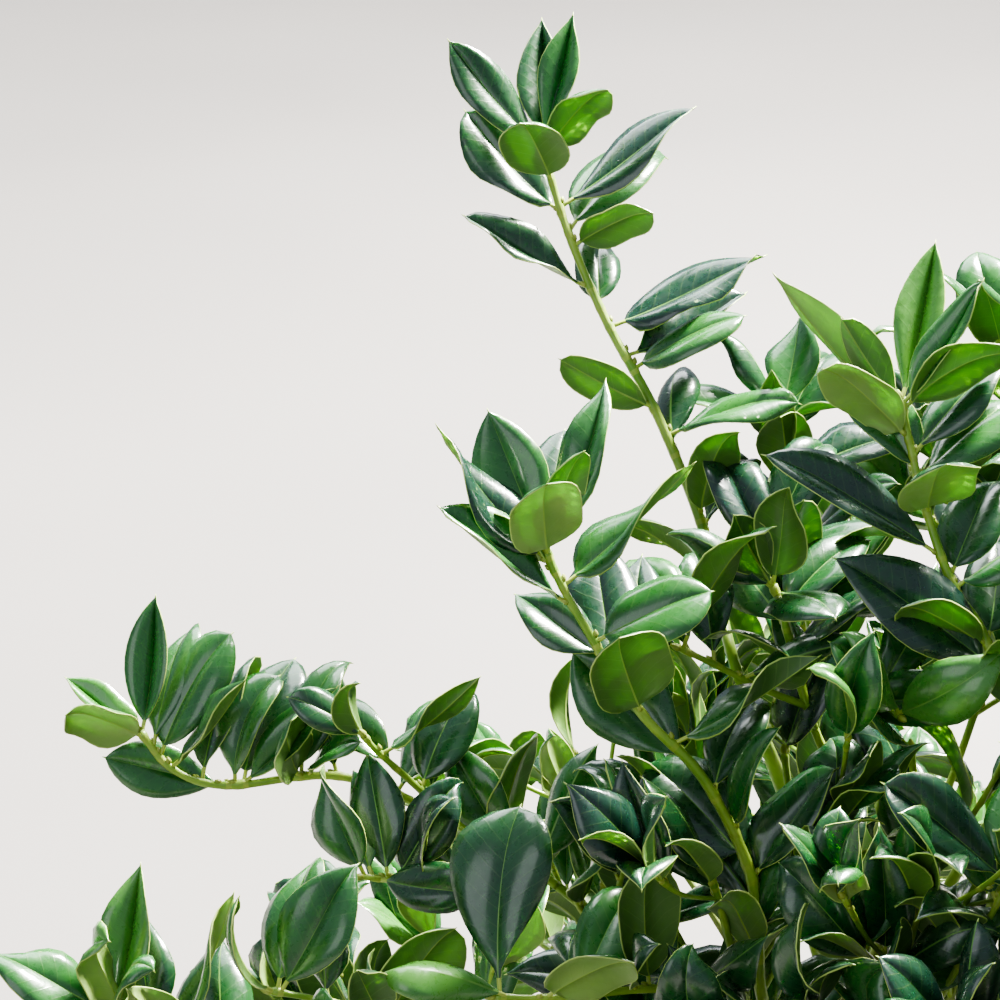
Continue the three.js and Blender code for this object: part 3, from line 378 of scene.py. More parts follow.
def side_of(tangent):
    """A direction square to another, the same for the same one each time."""
    return square_to(VIEW_RIGHT if abs(tangent[2]) > STEEP else UP, tangent)


def turned_about(v, axis, angle):
    """v turned about a unit vector."""
    c, s = math.cos(angle), math.sin(angle)
    return v * c + np.cross(axis, v) * s + axis * axis.dot(v) * (1 - c)


def smooth(points, steps):
    """A smooth line through the points: a Catmull-Rom curve, sampled evenly in each span."""
    p = np.array(points, float)
    p = np.vstack([2 * p[0] - p[1], p, 2 * p[-1] - p[-2]])
    line = []
    for i in range(1, len(p) - 2):
        before, start, end, after = p[i - 1 : i + 3]
        leave, arrive = (end - before) / 2, (after - start) / 2
        for t in np.arange(steps) / steps:
            cubic = (2 * start - 2 * end + leave + arrive) * t**3
            square = (-3 * start + 3 * end - 2 * leave - arrive) * t**2
            line.append(cubic + square + leave * t + start)
    return np.array([*line, p[-2]])


def lines_through(points, steps=SPAN_STEPS):
    """A smooth line as the model has it, and the same with its points some times as close."""
    return smooth(points, steps), smooth(points, steps * FINER)


def lengths_of(line):
    """Lengths along a polyline, from its start to each point."""
    return np.concatenate([[0], np.cumsum(np.linalg.norm(np.diff(line, axis=0), axis=1))])


def place_on(line, distance):
    """The point of a polyline at a distance from its start, its direction, and its place in steps."""
    lengths = lengths_of(line)
    d = min(max(distance, 0), lengths[-1])
    i = 1
    while i < len(line) - 1 and lengths[i] < d:
        i += 1
    share = (d - lengths[i - 1]) / (lengths[i] - lengths[i - 1])
    return between(line[i - 1], line[i], share), unit(line[i] - line[i - 1]), i - 1 + share


def seated(fine, parent):
    """A twig's finer line with its foot drawn onto its parent's, fading out towards its tip."""
    nearest = parent[np.argmin(np.linalg.norm(parent - fine[0], axis=1))]
    return fine + (nearest - fine[0]) * np.linspace(1, 0, len(fine))[:, None] ** 2


@dataclass(eq=False)
class Twig:
    """A line of leafy wood: the rule's line and its finer one, radii at its ends, and its leaves."""

    mass: str
    line: np.ndarray
    fine: np.ndarray
    radii: tuple
    bare_foot: float = BARE
    rows: tuple = ()
    is_fine: bool = False
    leaves: list = field(default_factory=list)

    @property
    def length(self):
        return lengths_of(self.line)[-1]


@dataclass
class Mass:
    """A mass of foliage, its own stream of numbers, and its twigs, the stem first."""

    name: str
    draw: object
    twigs: list


@dataclass(eq=False)
class Leaf:
    """A leaf by its root on its twig's middle line, its directions, its size and its form."""

    root: np.ndarray
    along: np.ndarray
    upper: np.ndarray
    length: float
    breadth: float
    twig: Twig
    place: float
    back: float
    tangent: np.ndarray
    form: dict

    @property
    def across(self):
        return np.cross(self.along, self.upper)

    @property
    def outward(self):
        """The direction from its twig that it leaves in."""
        return square_to(self.along, self.tangent)

    def on(self, share, side, lift=0.0, grown=0.0):
        """A place on the leaf: shares of its length and of its half breadth, mm of lift and growth."""
        drop = LEAF_CUP if side else LEAF_RECURVE if share == 1 else 0
        out = share * self.length + (grown if share == 1 else 0)
        wide = side * (self.breadth * self.length / 2 + grown)
        return self.root + self.along * out + self.across * wide + self.upper * (lift - drop * self.length)

    def sheet(self, grown, lift, root_share):
        """The blade as a thin sheet: its middle and the four corners of its rim."""
        rim = [(root_share, 0, lift), (LEAF_WIDEST, 1, lift, grown), (1, 0, lift, grown)]
        return np.array([self.on(*at) for at in [(0.5, 0, lift), *rim, (LEAF_WIDEST, -1, lift, grown)]])


def faces_of(sheets):
    """The four triangles round each sheet's middle."""
    rim = sheets[..., 1:, :]
    middle = np.broadcast_to(sheets[..., :1, :], rim.shape)
    return np.stack([middle, rim, np.roll(rim, -1, axis=-2)], axis=-2)


def edges_of(sheets):
    """The starts and ends of the rim's four edges and of the four from the middle, of each sheet."""
    middle, rim, after = np.moveaxis(faces_of(sheets), -2, 0)
    return np.concatenate([rim, middle], axis=-2), np.concatenate([after, rim], axis=-2)


def pierced(starts, ends, faces):
    """Where lines pass through triangles. All the leading axes are broadcast together."""
    corner = faces[..., 0, :]
    side, other = faces[..., 1, :] - corner, faces[..., 2, :] - corner
    way = ends - starts
    p = np.cross(way, other)
    scale = (side * p).sum(-1)
    flat = np.abs(scale) < LEAST_SCALE
    scale = np.where(flat, 1, scale)
    to_start = starts - corner
    u = (to_start * p).sum(-1) / scale
    q = np.cross(to_start, side)
    v = (way * q).sum(-1) / scale
    t = (other * q).sum(-1) / scale
    return ~flat & (u >= 0) & (v >= 0) & (u + v <= 1) & (t >= 0) & (t <= 1)


def sheets_cross(ones, others):
    """True if any of some sheets crosses any of some others."""
    one_starts, one_ends = (e.reshape(1, -1, 1, 3) for e in edges_of(ones))
    starts, ends = (e[:, :, None] for e in edges_of(others))
    if pierced(one_starts, one_ends, faces_of(others)[:, None]).any():
        return True
    return pierced(starts, ends, faces_of(ones).reshape(1, 1, -1, 3, 3)).any()


def away(points, starts, ends):
    """How far each point is from each straight piece's middle line."""
    way = ends - starts
    share = ((points[:, None] - starts) * way).sum(-1) / (way * way).sum(-1)
    nearest = starts + way * np.clip(share, 0, 1)[..., None]
    return np.linalg.norm(nearest - points[:, None], axis=-1)


class Grown:
    """The wood and the leaves that have grown so far. Wood is kept as straight pieces."""

    def __init__(self):
        self.leaves = []
        self.starts = self.ends = self.stems_shown = self.middles = np.zeros((0, 3))
        self.own_sheets = self.free_sheets = np.zeros((0, 5, 3))
        self.radii = self.reaches = np.zeros(0)
        self.wood_lines = np.zeros(0, int)
        self.wood_masses = self.masses = np.zeros(0, "U32")

    def add(self, **rows):
        for name, more in rows.items():
            setattr(self, name, np.concatenate([getattr(self, name), more]))

    def add_wood(self, mass, line, radii):
        n = len(line) - 1
        radii = between(*radii, np.arange(n) / n)
        names = {"wood_lines": [id(line)] * n, "wood_masses": [mass] * n}
        self.add(starts=line[:-1], ends=line[1:], radii=radii, **names)

    def add_leaf(self, leaf):
        self.leaves.append(leaf)
        leaf.twig.leaves.append(leaf)
        own, free = leaf.sheet(0, 0, OWN_ROOT), leaf.sheet(LEAF_GAP, 0, FREE_ROOT)
        self.add(middles=own[:1], reaches=[leaf.length / 2], masses=[leaf.twig.mass])
        self.add(own_sheets=[own], free_sheets=[free])

    def crowded(self, mass, line, room):
        """True if a new twig would come near wood that it doesn't grow from."""
        clear = np.tile(room + self.radii, (len(line) - 1, 1))
        clear[0] = room + np.where(self.wood_masses == mass, 0, self.radii)
        return (away(line[1:], self.starts, self.ends) < clear).any()

    def leaf_cut_by(self, line):
        """True if a new twig would pass through a leaf."""
        starts, ends = line[:-1].reshape(1, -1, 1, 3), line[1:].reshape(1, -1, 1, 3)
        return pierced(starts, ends, faces_of(self.free_sheets)[:, None]).any()

    def meets_leaf(self, leaf):
        """True if a leaf crosses another, or comes too near one of another mass."""
        apart = np.linalg.norm(self.middles - leaf.on(0.5, 0), axis=-1)
        near = apart < self.reaches + leaf.length / 2 + LEAF_GAP
        same = self.masses == leaf.twig.mass
        if sheets_cross(leaf.sheet(0, 0, OWN_ROOT)[None], self.own_sheets[near & same]):
            return True
        lifted = np.array([leaf.sheet(LEAF_GAP, lift, FREE_ROOT) for lift in (-LEAF_GAP, 0, LEAF_GAP)])
        return sheets_cross(lifted, self.free_sheets[near & ~same])

    def meets_wood(self, leaf):
        """True if a leaf touches a piece of wood that it doesn't grow from."""
        distances = away(leaf.on(0.5, 0)[None], self.starts, self.ends)[0]
        near = distances < leaf.length / 2 + self.radii + WOOD_GAP
        near &= self.wood_lines != id(leaf.twig.line)
        own = self.wood_masses == leaf.twig.mass
        for chosen, gap, root_share in ((near & own, 0, OWN_ROOT), (near & ~own, WOOD_GAP, FREE_ROOT)):
            sheet = leaf.sheet(gap, 0, root_share)
            starts, ends = self.starts[chosen], self.ends[chosen]
            if pierced(starts[:, None], ends[:, None], faces_of(sheet)[None]).any():
                return True
            rim, after = sheet[1:], np.roll(sheet[1:], -1, axis=0)
            thirds = [between(rim, after, share) for share in (0, 1 / 3, 2 / 3)]
            tests = np.vstack([sheet[:1], *thirds, between(rim, sheet[:1], 1 / 2)])
            if (away(tests, starts, ends) < self.radii[chosen] + gap).any():
                return True
        return False

    def fills_opening(self, leaf):
        """True if a leaf shows in an open place of the view, or in front of a stem that it shows."""
        points = np.array([leaf.on(*test) for test in LEAF_TESTS])
        if in_opening(points):
            return True
        shown = in_view(points)[:, None]
        apart = np.linalg.norm(shown[..., :2] - self.stems_shown[:, :2], axis=-1)
        return ((apart < STEM_CLEAR) & (shown[..., 2] > self.stems_shown[:, 2])).any()

    def grow_leaf(self, leaf, reach_box, laid_out=False):
        """Grows a leaf, turned a little about its twig where it would touch something, or not at all."""
        for nudge in SEEN_NUDGES if laid_out else NUDGES:
            along, upper = (turned_about(way, leaf.tangent, nudge) for way in (leaf.along, leaf.upper))
            turned = replace(leaf, along=along, upper=upper)
            corners = turned.sheet(0, 0, 0)
            if turned.on(1, 0)[2] < LEAST_HEIGHT:
                continue
            if (corners < reach_box[0]).any() or (corners > reach_box[1]).any():
                continue
            if not laid_out and self.fills_opening(turned):
                continue
            if not self.meets_leaf(turned) and not self.meets_wood(turned):
                self.add_leaf(turned)
                return


# What has grown so far: all that new growth keeps clear of, the masses, and the trunk and limbs by
# name, each with its line, its finer line and its radii.
grown = Grown()
masses = []
wood = {"trunk": (*lines_through(TRUNK_LINE, TRUNK_STEPS), TRUNK_RADII)}
grown.add_wood("wood", wood["trunk"][0], (TRUNK_RADII[0] + FLARE_MEAN, TRUNK_RADII[1]))


def grow_limb(name, parent, radii, via, stem_points):
    """Grows wood from its parent out to its tip. The stretch up to the joint is a limb."""
    parent_line = wood[parent[0]][0]
    at = min(parent[1], lengths_of(parent_line)[-1] - SEAT_GAP)
    line, fine = lines_through([place_on(parent_line, at)[0], *via, *stem_points])
    if not via:
        return line, fine
    joint = (len(via) + 1) * SPAN_STEPS
    tangent = unit(line[joint + 1] - line[joint - 1])
    limb, stem = line[: joint + 1].copy(), line[joint:].copy()
    limb[-1] -= tangent * SEAT_GAP / 2
    stem[0] += tangent * SEAT_GAP / 2
    grown.add_wood("wood", limb, radii)
    wood[name] = (limb, fine[: joint * FINER + 1], radii)
    return stem, fine[joint * FINER :]


def start_mass(name, lines, radius, draw, **more):
    """A mass of foliage with its stem."""
    stem = Twig(name, *lines, (radius, STEM_TIP_RADIUS), **more)
    grown.add_wood(name, stem.line, stem.radii)
    masses.append(Mass(name, draw, [stem]))


def grow_seen(key, order):
    """A limb and stem that the view shows, with the side twigs that it shows on them."""
    parent, radii, via = LIMBS[key]
    (path, rows), *twigs = SHOOTS[key]
    via = [around(*place) for place in via]
    lines = grow_limb(f"{key}_limb", parent, radii, via, [seen(*place) for place in path])
    name = f"{key}_shoot"
    start_mass(name, lines, radii[1], stream(order + 1), rows=rows)
    for path, rows in twigs:
        line, fine = lines_through([seen(*place) for place in path])
        tip = TWIG_RADII[0]
        twig = Twig(name, line, seated(fine, lines[1]), ((radii[1] + tip[0]) / 2, tip[1]), rows=rows)
        grown.add_wood(name, line, twig.radii)
        masses[-1].twigs.append(twig)


def grow_tier(key, azimuths, parents, radii, joint, tip):
    """The limbs and stems of a tier. A stem with no limb curves up from what it grows from."""
    for k, azimuth in enumerate(azimuths):
        draw = stream(tip[0] * tip[1] + TIER_SEED * k)
        reach = tip[0] * spread(draw, 1, VARIED)
        dip = max(0, math.cos(math.radians(azimuth - CROWN_DIP_AZIMUTH)))
        height = tip[1] * spread(draw, 1, VARIED) * (1 - CROWN_DIP * dip)
        turned = spread(draw, azimuth, VARIED_AZIMUTH)
        parent = parents[k % len(parents)]
        foot = place_on(wood[parent[0]][0], parent[1])[0]
        end = around(turned, reach, height)
        name = f"{key}_foliage_{k + 1}"
        if not joint:
            lines = grow_limb(name, parent, radii, [], [between(foot, end, 0.5) - UP * SAG * height, end])
            start_mass(name, lines, radii[0], draw, bare_foot=lengths_of(lines[0])[-1] * BARE_SHARE)
            continue
        out, rise = joint[0] * spread(draw, 1, VARIED), joint[1] * spread(draw, 1, VARIED)
        via = [around(azimuth, out * LIMB_BEND[0], between(foot[2], rise, LIMB_BEND[1]))]
        bend = around(turned, between(out, reach, STEM_BEND[0]), between(rise, height, STEM_BEND[1]))
        points = [around(turned, out, rise), bend, end]
        lines = grow_limb(f"{key}_limb_{k + 1}", parent, radii, via, points)
        start_mass(name, lines, radii[1], draw)


def side_twig(parent, at, length, turn, is_fine):
    """A side twig: it leaves its parent at an angle and bends upwards. None if there is no room."""
    point, tangent, _ = place_on(parent.line, at)
    for nudge in NUDGES:
        radial = turned_about(side_of(tangent), tangent, turn + nudge * 2)
        out = unit(tangent * TWIG_ALONG + radial * TWIG_OUT + UP * TWIG_UP)
        bend = point + out * length / 2
        line, fine = lines_through([point, bend, bend + unit(out + UP * TWIG_RISE) * length / 2])
        if grown.crowded(parent.mass, line, TWIG_ROOM[is_fine]):
            continue
        if is_fine and (grown.leaf_cut_by(line) or in_opening(line)):
            continue
        radii = TWIG_RADII[is_fine]
        grown.add_wood(parent.mass, line, radii)
        return Twig(parent.mass, line, seated(fine, parent.fine), radii, is_fine=is_fine)
    return None


def side_twigs(parent, draw, count, is_fine):
    """The side twigs of a stem or twig by rule, in turn round it."""
    total = parent.length
    phase = draw() * math.pi * 2
    longest = min(TWIG_LENGTH, total * TWIG_SHARE)
    made = []
    for k in range(count):
        at = between(parent.bare_foot, total, TWIG_FIRST[is_fine] + TWIG_STEP[is_fine] * k)
        shrunk = TWIG_SIZE[is_fine] - TWIG_SHORTENED[is_fine] * k
        length = longest * shrunk * spread(draw, 1, TWIG_VARIED)
        made.append(side_twig(parent, at, length, phase + k * LEAF_TURN, is_fine))
    return [twig for twig in made if twig]


def seen_leaf(twig, back, turn, towards, shown, length, breadth=LEAF_BREADTH, form=None):
    """A leaf laid out as it is seen. Its upper side faces along the twig, up, and to the viewer."""
    point, tangent, place = place_on(twig.line, twig.length - back)
    along = heading(turn, towards)
    upper = square_to(tangent + UP * UPWARD + VIEW_TOWARDS * shown * SHOWN, along)
    return Leaf(point, along, upper, length, breadth, twig, place, back, tangent, form or {})


def ruled_leaves(twig, draw, start):
    """The leaves of a twig by rule, from some mm behind its tip down to its bare foot."""
    made = []
    total = twig.length
    phase = draw() * math.pi * 2
    i, back = 0, 1
    while back < total - twig.bare_foot:
        point, tangent, place = place_on(twig.line, total - back)
        radial = turned_about(side_of(tangent), tangent, phase + i * LEAF_TURN)
        age = min(1, i / FULL_LEAN_LEAF)
        lean = math.radians(spread(draw, between(TIP_LEAN, FULL_LEAN, age), LEAN_VARIED))
        along = unit(tangent * math.cos(lean) + radial * math.sin(lean) + UP * LEAF_LIFT)
        upper = square_to(tangent + UP * UPWARD + radial * spread(draw, 0, FACING_VARIED), along)
        length = LEAF_LENGTH * (CLUSTER_SIZE if i < CLUSTER else 1) * spread(draw, 1, LENGTH_VARIED)
        breadth = LEAF_BREADTH * spread(draw, 1, BREADTH_VARIED)
        if back >= start:
            made.append((i, Leaf(point, along, upper, length, breadth, twig, place, back, tangent, {})))
        back += CLUSTER_STEP if i < CLUSTER else spread(draw, INTERNODE, INTERNODE_VARIED)
        i += 1
    return made


def grow_leaves():
    """First the model's leaves at life size, then those that it leaves out, on finer twigs too."""
    boxes, later = {}, []
    shown = [mass.twigs[0].fine for mass, key in zip(masses, LIMBS) if key in STEMS_SHOWN]
    grown.stems_shown = in_view(np.vstack(shown))
    for mass in masses:
        low, high = (np.array(corner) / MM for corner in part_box(mass.name))
        boxes[mass.name] = (low - REACH_SPARE, high + REACH_SPARE)
        for twig in mass.twigs:
            for row in twig.rows:
                grown.grow_leaf(seen_leaf(twig, *row), (low - SEEN_SPARE, high + SEEN_SPARE), laid_out=True)
            start = twig.rows[-1][0] + INTERNODE if twig.rows else 0
            for i, leaf in ruled_leaves(twig, mass.draw, start):
                if i % THINNED:
                    later.append(leaf)
                else:
                    grown.grow_leaf(leaf, boxes[mass.name])
    draw = stream(FINE_SEED)
    for mass in masses[len(LIMBS) :]:
        counts = [FINE_ON_STEM] + [FINE_ON_TWIG] * len(mass.twigs[1:])
        made = [side_twigs(twig, draw, count, True) for twig, count in zip(mass.twigs, counts)]
        for twig in sum(made, []):
            mass.twigs.append(twig)
            later += [leaf for _, leaf in ruled_leaves(twig, draw, 0)]
    for leaf in later:
        grown.grow_leaf(leaf, boxes[leaf.twig.mass])


def trim_twigs():
    """Drops side twigs that hardly a leaf grew on, and ends the others just past their last leaf."""
    for mass in masses:
        mass.twigs[1:] = [twig for twig in mass.twigs[1:] if len(twig.leaves) >= LEAST_LEAVES]
        for twig in mass.twigs:
            last = max((leaf.place for leaf in twig.leaves), default=len(twig.line) - 1)
            twig.fine = twig.fine[: max(1, math.ceil(last * FINER)) + 1]
    return [twig for mass in masses for twig in mass.twigs]


for order, key in enumerate(LIMBS):
    grow_seen(key, order)
for key, tier in TIERS.items():
    grow_tier(key, *tier)
for mass in masses[len(LIMBS) :]:
    mass.twigs += side_twigs(mass.twigs[0], mass.draw, TWIGS, False)
grow_leaves()
twigs = trim_twigs()
leaves_grown = [leaf for leaf in grown.leaves if leaf.twig in twigs]

# A leaf blade's shape: shares of its length taken by its stalk and by the spine past its tip, and
# for a wedge and a round end each, the share that its base widens over and the power that it does
# so by, where its shoulders are and the power that it draws in by from there to its point, how
# wedge-like bases are, how much wider one half is, and radii in mm.
STALK, SPINE = 0.1, 0.03
BASE_SPAN, BASE_POWER = (0.32, 0.8), (0.5, 1.2)
SHOULDER, SHOULDER_POWER = (0.34, 0.62), (1.15, 0.5)
SQUARE_POWER = 1.3
WEDGE = (0.1, 0.75)
LOPSIDED = (-0.1, 0.1)
STALK_RADIUS, TIP_WIDTH, SPINE_WIDTH = 0.75, 0.34, 0.07
STALK_ROWS, BLADE_ROWS = 3, 12

# Its bend along its length, the curl of its tip, the slopes that it folds and rolls by to its rim,
# its turns out of line and about itself, all in radians, and its waves in shares of its length. A
# few leaves take the second limits, where there are two.
BEND = (0.05, 0.7), (0.8, 1.3)
CURL = (0.2, 1.05), (1.2, 1.9)
CURL_START, CURL_END, CURL_POWER = 0.6, 1.1, 1.5
DROOP = 0.07
LEAST_CHORD = 0.6
FOLD = (-0.72, -0.12), (0.15, 0.5)
ROLL = (0.85, 1.5)
ROLLED_BREADTH = 1.1
SWAY = (-0.3, 0.3)
TWIST = (-0.8, 0.8), (-1.7, 1.7)
TWIST_POWER = 1.4
WAVE, WAVES = (0.008, 0.04), (0.9, 1.9)
SELDOM = 0.16

# Its section: where its points are between rib and rim, as shares of the half breadth, the widths
# in mm, and as most of the half breadth, of the margin and of the rib at its foot and tip, and the
# heights in mm from the rib out, above and below, which thin towards the ends.
BLADE_SHARES = (0.32, 0.64)
MARGIN_WIDTH, MOST_MARGIN = 0.3, 0.3
RIB_WIDTH, MOST_RIB = (0.36, 0.12), 0.25
ABOVE = np.array([0.1, 0.2, 0.2, 0.2, 0.28, 0])
BELOW = np.array([0.45, 0.2, 0.2, 0.2, 0.28, 0])
THINNING, THINNEST = 3, 0.35

# Which of a leaf's materials each face takes: four greens above, three below, and the rest.
UPPER_GREENS, LOWER_GREENS = 4, 3
MARGIN_SLOT, RIB_SLOT, LOWER_RIB_SLOT, STALK_SLOT = 7, 8, 9, 10
UV_SIZE = 100
SHORT_OF_END = 1e-6


def summed(steps):
    """Running sums along an array's second axis, from 0."""
    return np.concatenate([np.zeros_like(steps[:, :1]), np.cumsum(steps, axis=1)], axis=1)


def levelled(angles, s):
    """Headings along a curve less that of its chord, and the chord's share of its length."""
    middles, steps = (angles[:, 1:] + angles[:, :-1]) / 2, np.diff(s)
    forward, aside = ((way(middles) * steps)[:, :-1].sum(1, keepdims=True) for way in (np.cos, np.sin))
    return angles - np.arctan2(aside, forward), np.hypot(forward, aside)


def turned_in_plane(one, other, angle):
    """Two directions square to each other, turned in their plane, the first towards the second."""
    c, s = np.cos(angle)[..., None], np.sin(angle)[..., None]
    return one * c + other * s, other * c - one * s


def around_ring(left_top, right_top, right_under, left_under):
    """A ring from the left rim over the top to the right one and back below, from rows rib to rim."""
    parts = [left_top[:, :, :0:-1], right_top, right_under[:, :, -2:0:-1], left_under[:, :, :-1]]
    return np.concatenate(parts, axis=2)


class Shapes:
    """The shapes of many leaves, from row to row, in mm. A row's place is a share of the length."""

    def __init__(self, leaves, rng):
        self.leaves, self.rng = leaves, rng
        # The stalk's rows, the blade's, closer near its ends, and the spine's.
        k = np.arange(1, BLADE_ROWS + 1) / BLADE_ROWS
        blade_rows = STALK + (1 - STALK) * (k + (1 - np.cos(np.pi * k)) / 2) / 2
        self.rows = np.concatenate([np.linspace(0, STALK, STALK_ROWS), blade_rows, [1 + SPINE]])[None]
        self.blade = np.clip((self.rows - STALK) / (1 - STALK), 0, 1)
        self.half_breadth = ROLLED_BREADTH * (self.each("breadth") * self.each("length") / 2)

    def each(self, name):
        return np.array([getattr(leaf, name) for leaf in self.leaves], float)[:, None]

    def drawn(self, limits):
        return self.rng.uniform(*limits, (len(self.leaves), 1))

    def formed(self, name, limits, others=None, power=1):
        """A number for each leaf: its own form's, or one within limits. A few take the others."""
        if others:
            rare = self.rng.random((len(self.leaves), 1)) < SELDOM
            values = np.where(rare, self.drawn(others), self.drawn(limits))
        else:
            values = self.drawn(limits)
        pairs = zip(self.leaves, values[:, 0] ** power)
        return np.array([[leaf.form.get(name, value)] for leaf, value in pairs])

    def midribs(self):
        """Each leaf's length along its midrib, the midrib's line, and the ways across and out of it."""
        s = self.rows
        bend, curl = self.formed("bend", *BEND), self.formed("curl", *CURL)
        curled = np.clip((s - CURL_START) / (1 - CURL_START), 0, CURL_END) ** CURL_POWER
        pitch, chord = levelled(bend * (0.5 - s) - curl * curled, s)
        length = self.each("length") / np.maximum(chord, LEAST_CHORD)
        yaw, _ = levelled(self.formed("sway", SWAY) * (0.5 - s), s)
        turning = np.array([[leaf.form.get("turning", TWIST_POWER)] for leaf in self.leaves])
        twist = self.formed("twist", *TWIST) * self.blade**turning
        ahead, _ = turned_in_plane(self.each("along"), self.each("across"), yaw)
        tangent, normal = turned_in_plane(ahead, self.each("upper"), pitch - DROOP)
        side, normal = turned_in_plane(np.cross(tangent, normal), normal, twist)
        steps = (tangent[:, 1:] + tangent[:, :-1]) / 2 * (np.diff(s) * length)[..., None]
        line = np.array([leaf_root(leaf) for leaf in self.leaves])[:, None] + summed(steps)
        return length, line, side, normal

    def half_widths(self):
        """The half width at each row, and how much the row is a blade's and not round."""
        s, blade = self.rows, self.blade
        square = self.formed("square", (0, 1), power=SQUARE_POWER)
        shoulder = between(*SHOULDER, square)
        past = np.clip((blade - shoulder) / (1 - shoulder), 0, 1)
        base = self.formed("base", WEDGE)
        short_of = 1 - np.clip(blade / between(*BASE_SPAN, base), 0, 1)
        outline = (1 - short_of**2) ** between(*BASE_POWER, base)
        outline = outline * (1 - past**2) ** between(*SHOULDER_POWER, square)
        outline /= outline.max(axis=1, keepdims=True)
        least = np.where(s <= STALK, STALK_RADIUS, between(STALK_RADIUS, TIP_WIDTH, blade))
        least = np.where(s > 1, SPINE_WIDTH, least)
        half = np.maximum(least, self.half_breadth * outline)
        return half, np.clip((half - least) / (2 * STALK_RADIUS), 0, 1)

    def sections(self, half, fade):
        """From midrib to rim: places along the section, how wide and low they are, slope and heights."""
        rim = np.minimum(MARGIN_WIDTH, half * MOST_MARGIN)
        rib = np.minimum(between(*RIB_WIDTH, self.blade), half * MOST_RIB)
        zero = np.zeros((*half.shape, 1))
        out = np.stack([zero[..., 0], rib, *(half * share for share in BLADE_SHARES), half - rim, half], -1)
        fold, roll = self.formed("fold", *FOLD), self.formed("roll", ROLL)
        half = half[..., None]
        mid_out = (out[..., 1:] + out[..., :-1]) / 2 / half
        slope = (fold[..., None] + roll[..., None] * mid_out**2) * fade
        wide, low = (np.cumsum(way(slope) * np.diff(out), axis=-1) for way in (np.cos, np.sin))
        wide, low = np.concatenate([zero, wide], axis=-1), np.concatenate([zero, -low], axis=-1)
        slope = np.concatenate([zero, slope[..., 1:], slope[..., -1:]], axis=-1)
        quarter = np.pi / 2 * np.arange(len(ABOVE)) / (len(ABOVE) - 1)
        wide = between(half * np.sin(quarter), wide, fade)
        thins = np.clip(half / self.half_breadth[..., None] * THINNING, THINNEST, 1)
        heights = [between(half * np.cos(quarter), height * thins, fade) for height in (ABOVE, BELOW)]
        return out, wide, low, slope, heights

    def rings(self):
        """The corners of each leaf's rings, and their places in its own plane."""
        length, line, side, normal = self.midribs()
        half, is_blade = self.half_widths()
        out, wide, low, slope, heights = self.sections(half, is_blade[..., None])
        amount, lopsided = self.formed("wave", WAVE) * length, self.drawn(LOPSIDED)
        line, side, normal = (part[:, :, None] for part in (line, side, normal))
        corners = []
        for sign in (-1, 1):
            fuller = 1 + (lopsided * sign * is_blade)[..., None]
            wave = amount * np.sin(2 * np.pi * (self.drawn(WAVES) * self.rows + self.drawn((0, 1))))
            lift = low + (wave * is_blade)[..., None] * (out / half[..., None]) ** 2
            place = line + side * (wide * sign * fuller)[..., None] + normal * lift[..., None]
            face_out = side * (np.sin(slope) * sign)[..., None] + normal * np.cos(slope)[..., None]
            above, below = (face_out * height[..., None] for height in heights)
            corners.append((place + above, place - below))
        (left_top, left_under), (right_top, right_under) = corners
        flat = around_ring(-out, out, out, -out)
        flat = np.stack([flat, np.broadcast_to((self.rows * length)[..., None], flat.shape)], axis=-1)
        return around_ring(left_top, right_top, right_under, left_under), flat


def leaf_slots(rows, upper, under):
    """The materials of a leaf's faces, from ring to ring and round each."""
    halves = ((upper, RIB_SLOT), (under, LOWER_RIB_SLOT))
    around_it = [[MARGIN_SLOT, *[face] * 3, *[rib] * 2, *[face] * 3, MARGIN_SLOT] for face, rib in halves]
    slots = np.tile(np.concatenate(around_it), (rows - 1, 1))
    slots[: STALK_ROWS - 1] = STALK_SLOT
    slots[-1] = MARGIN_SLOT
    return slots


def leaf_root(leaf):
    """The place on a twig's finer line that a leaf grows from."""
    fine = leaf.twig.fine
    at = min(leaf.place * FINER, len(fine) - 1 - SHORT_OF_END)
    i = int(at)
    return between(fine[i], fine[i + 1], at - i)


def evenly(line, step):
    """A polyline resampled at even steps, and the length at each point."""
    lengths = lengths_of(line)
    at = np.linspace(0, lengths[-1], max(3, int(lengths[-1] / step) + 1))
    return np.stack([np.interp(at, lengths, line[:, i]) for i in range(3)], axis=-1), at


def ring_ways(line, sides):
    """The directions from a line to each corner of the rings round it, turned as little as can be."""
    tangents = np.gradient(line, axis=0)
    tangents /= np.linalg.norm(tangents, axis=1)[:, None]
    ways = [side_of(tangents[0])]
    for tangent in tangents[1:]:
        ways.append(square_to(ways[-1], tangent))
    side, across = np.array(ways)[:, None], np.cross(tangents, ways)[:, None]
    turn = (2 * np.pi * np.arange(sides) / sides)[None, :, None]
    return side * np.cos(turn) + across * np.sin(turn)


def placed(name, data):
    obj = bpy.data.objects.new(name, data)
    bpy.context.scene.collection.objects.link(obj)
    return obj


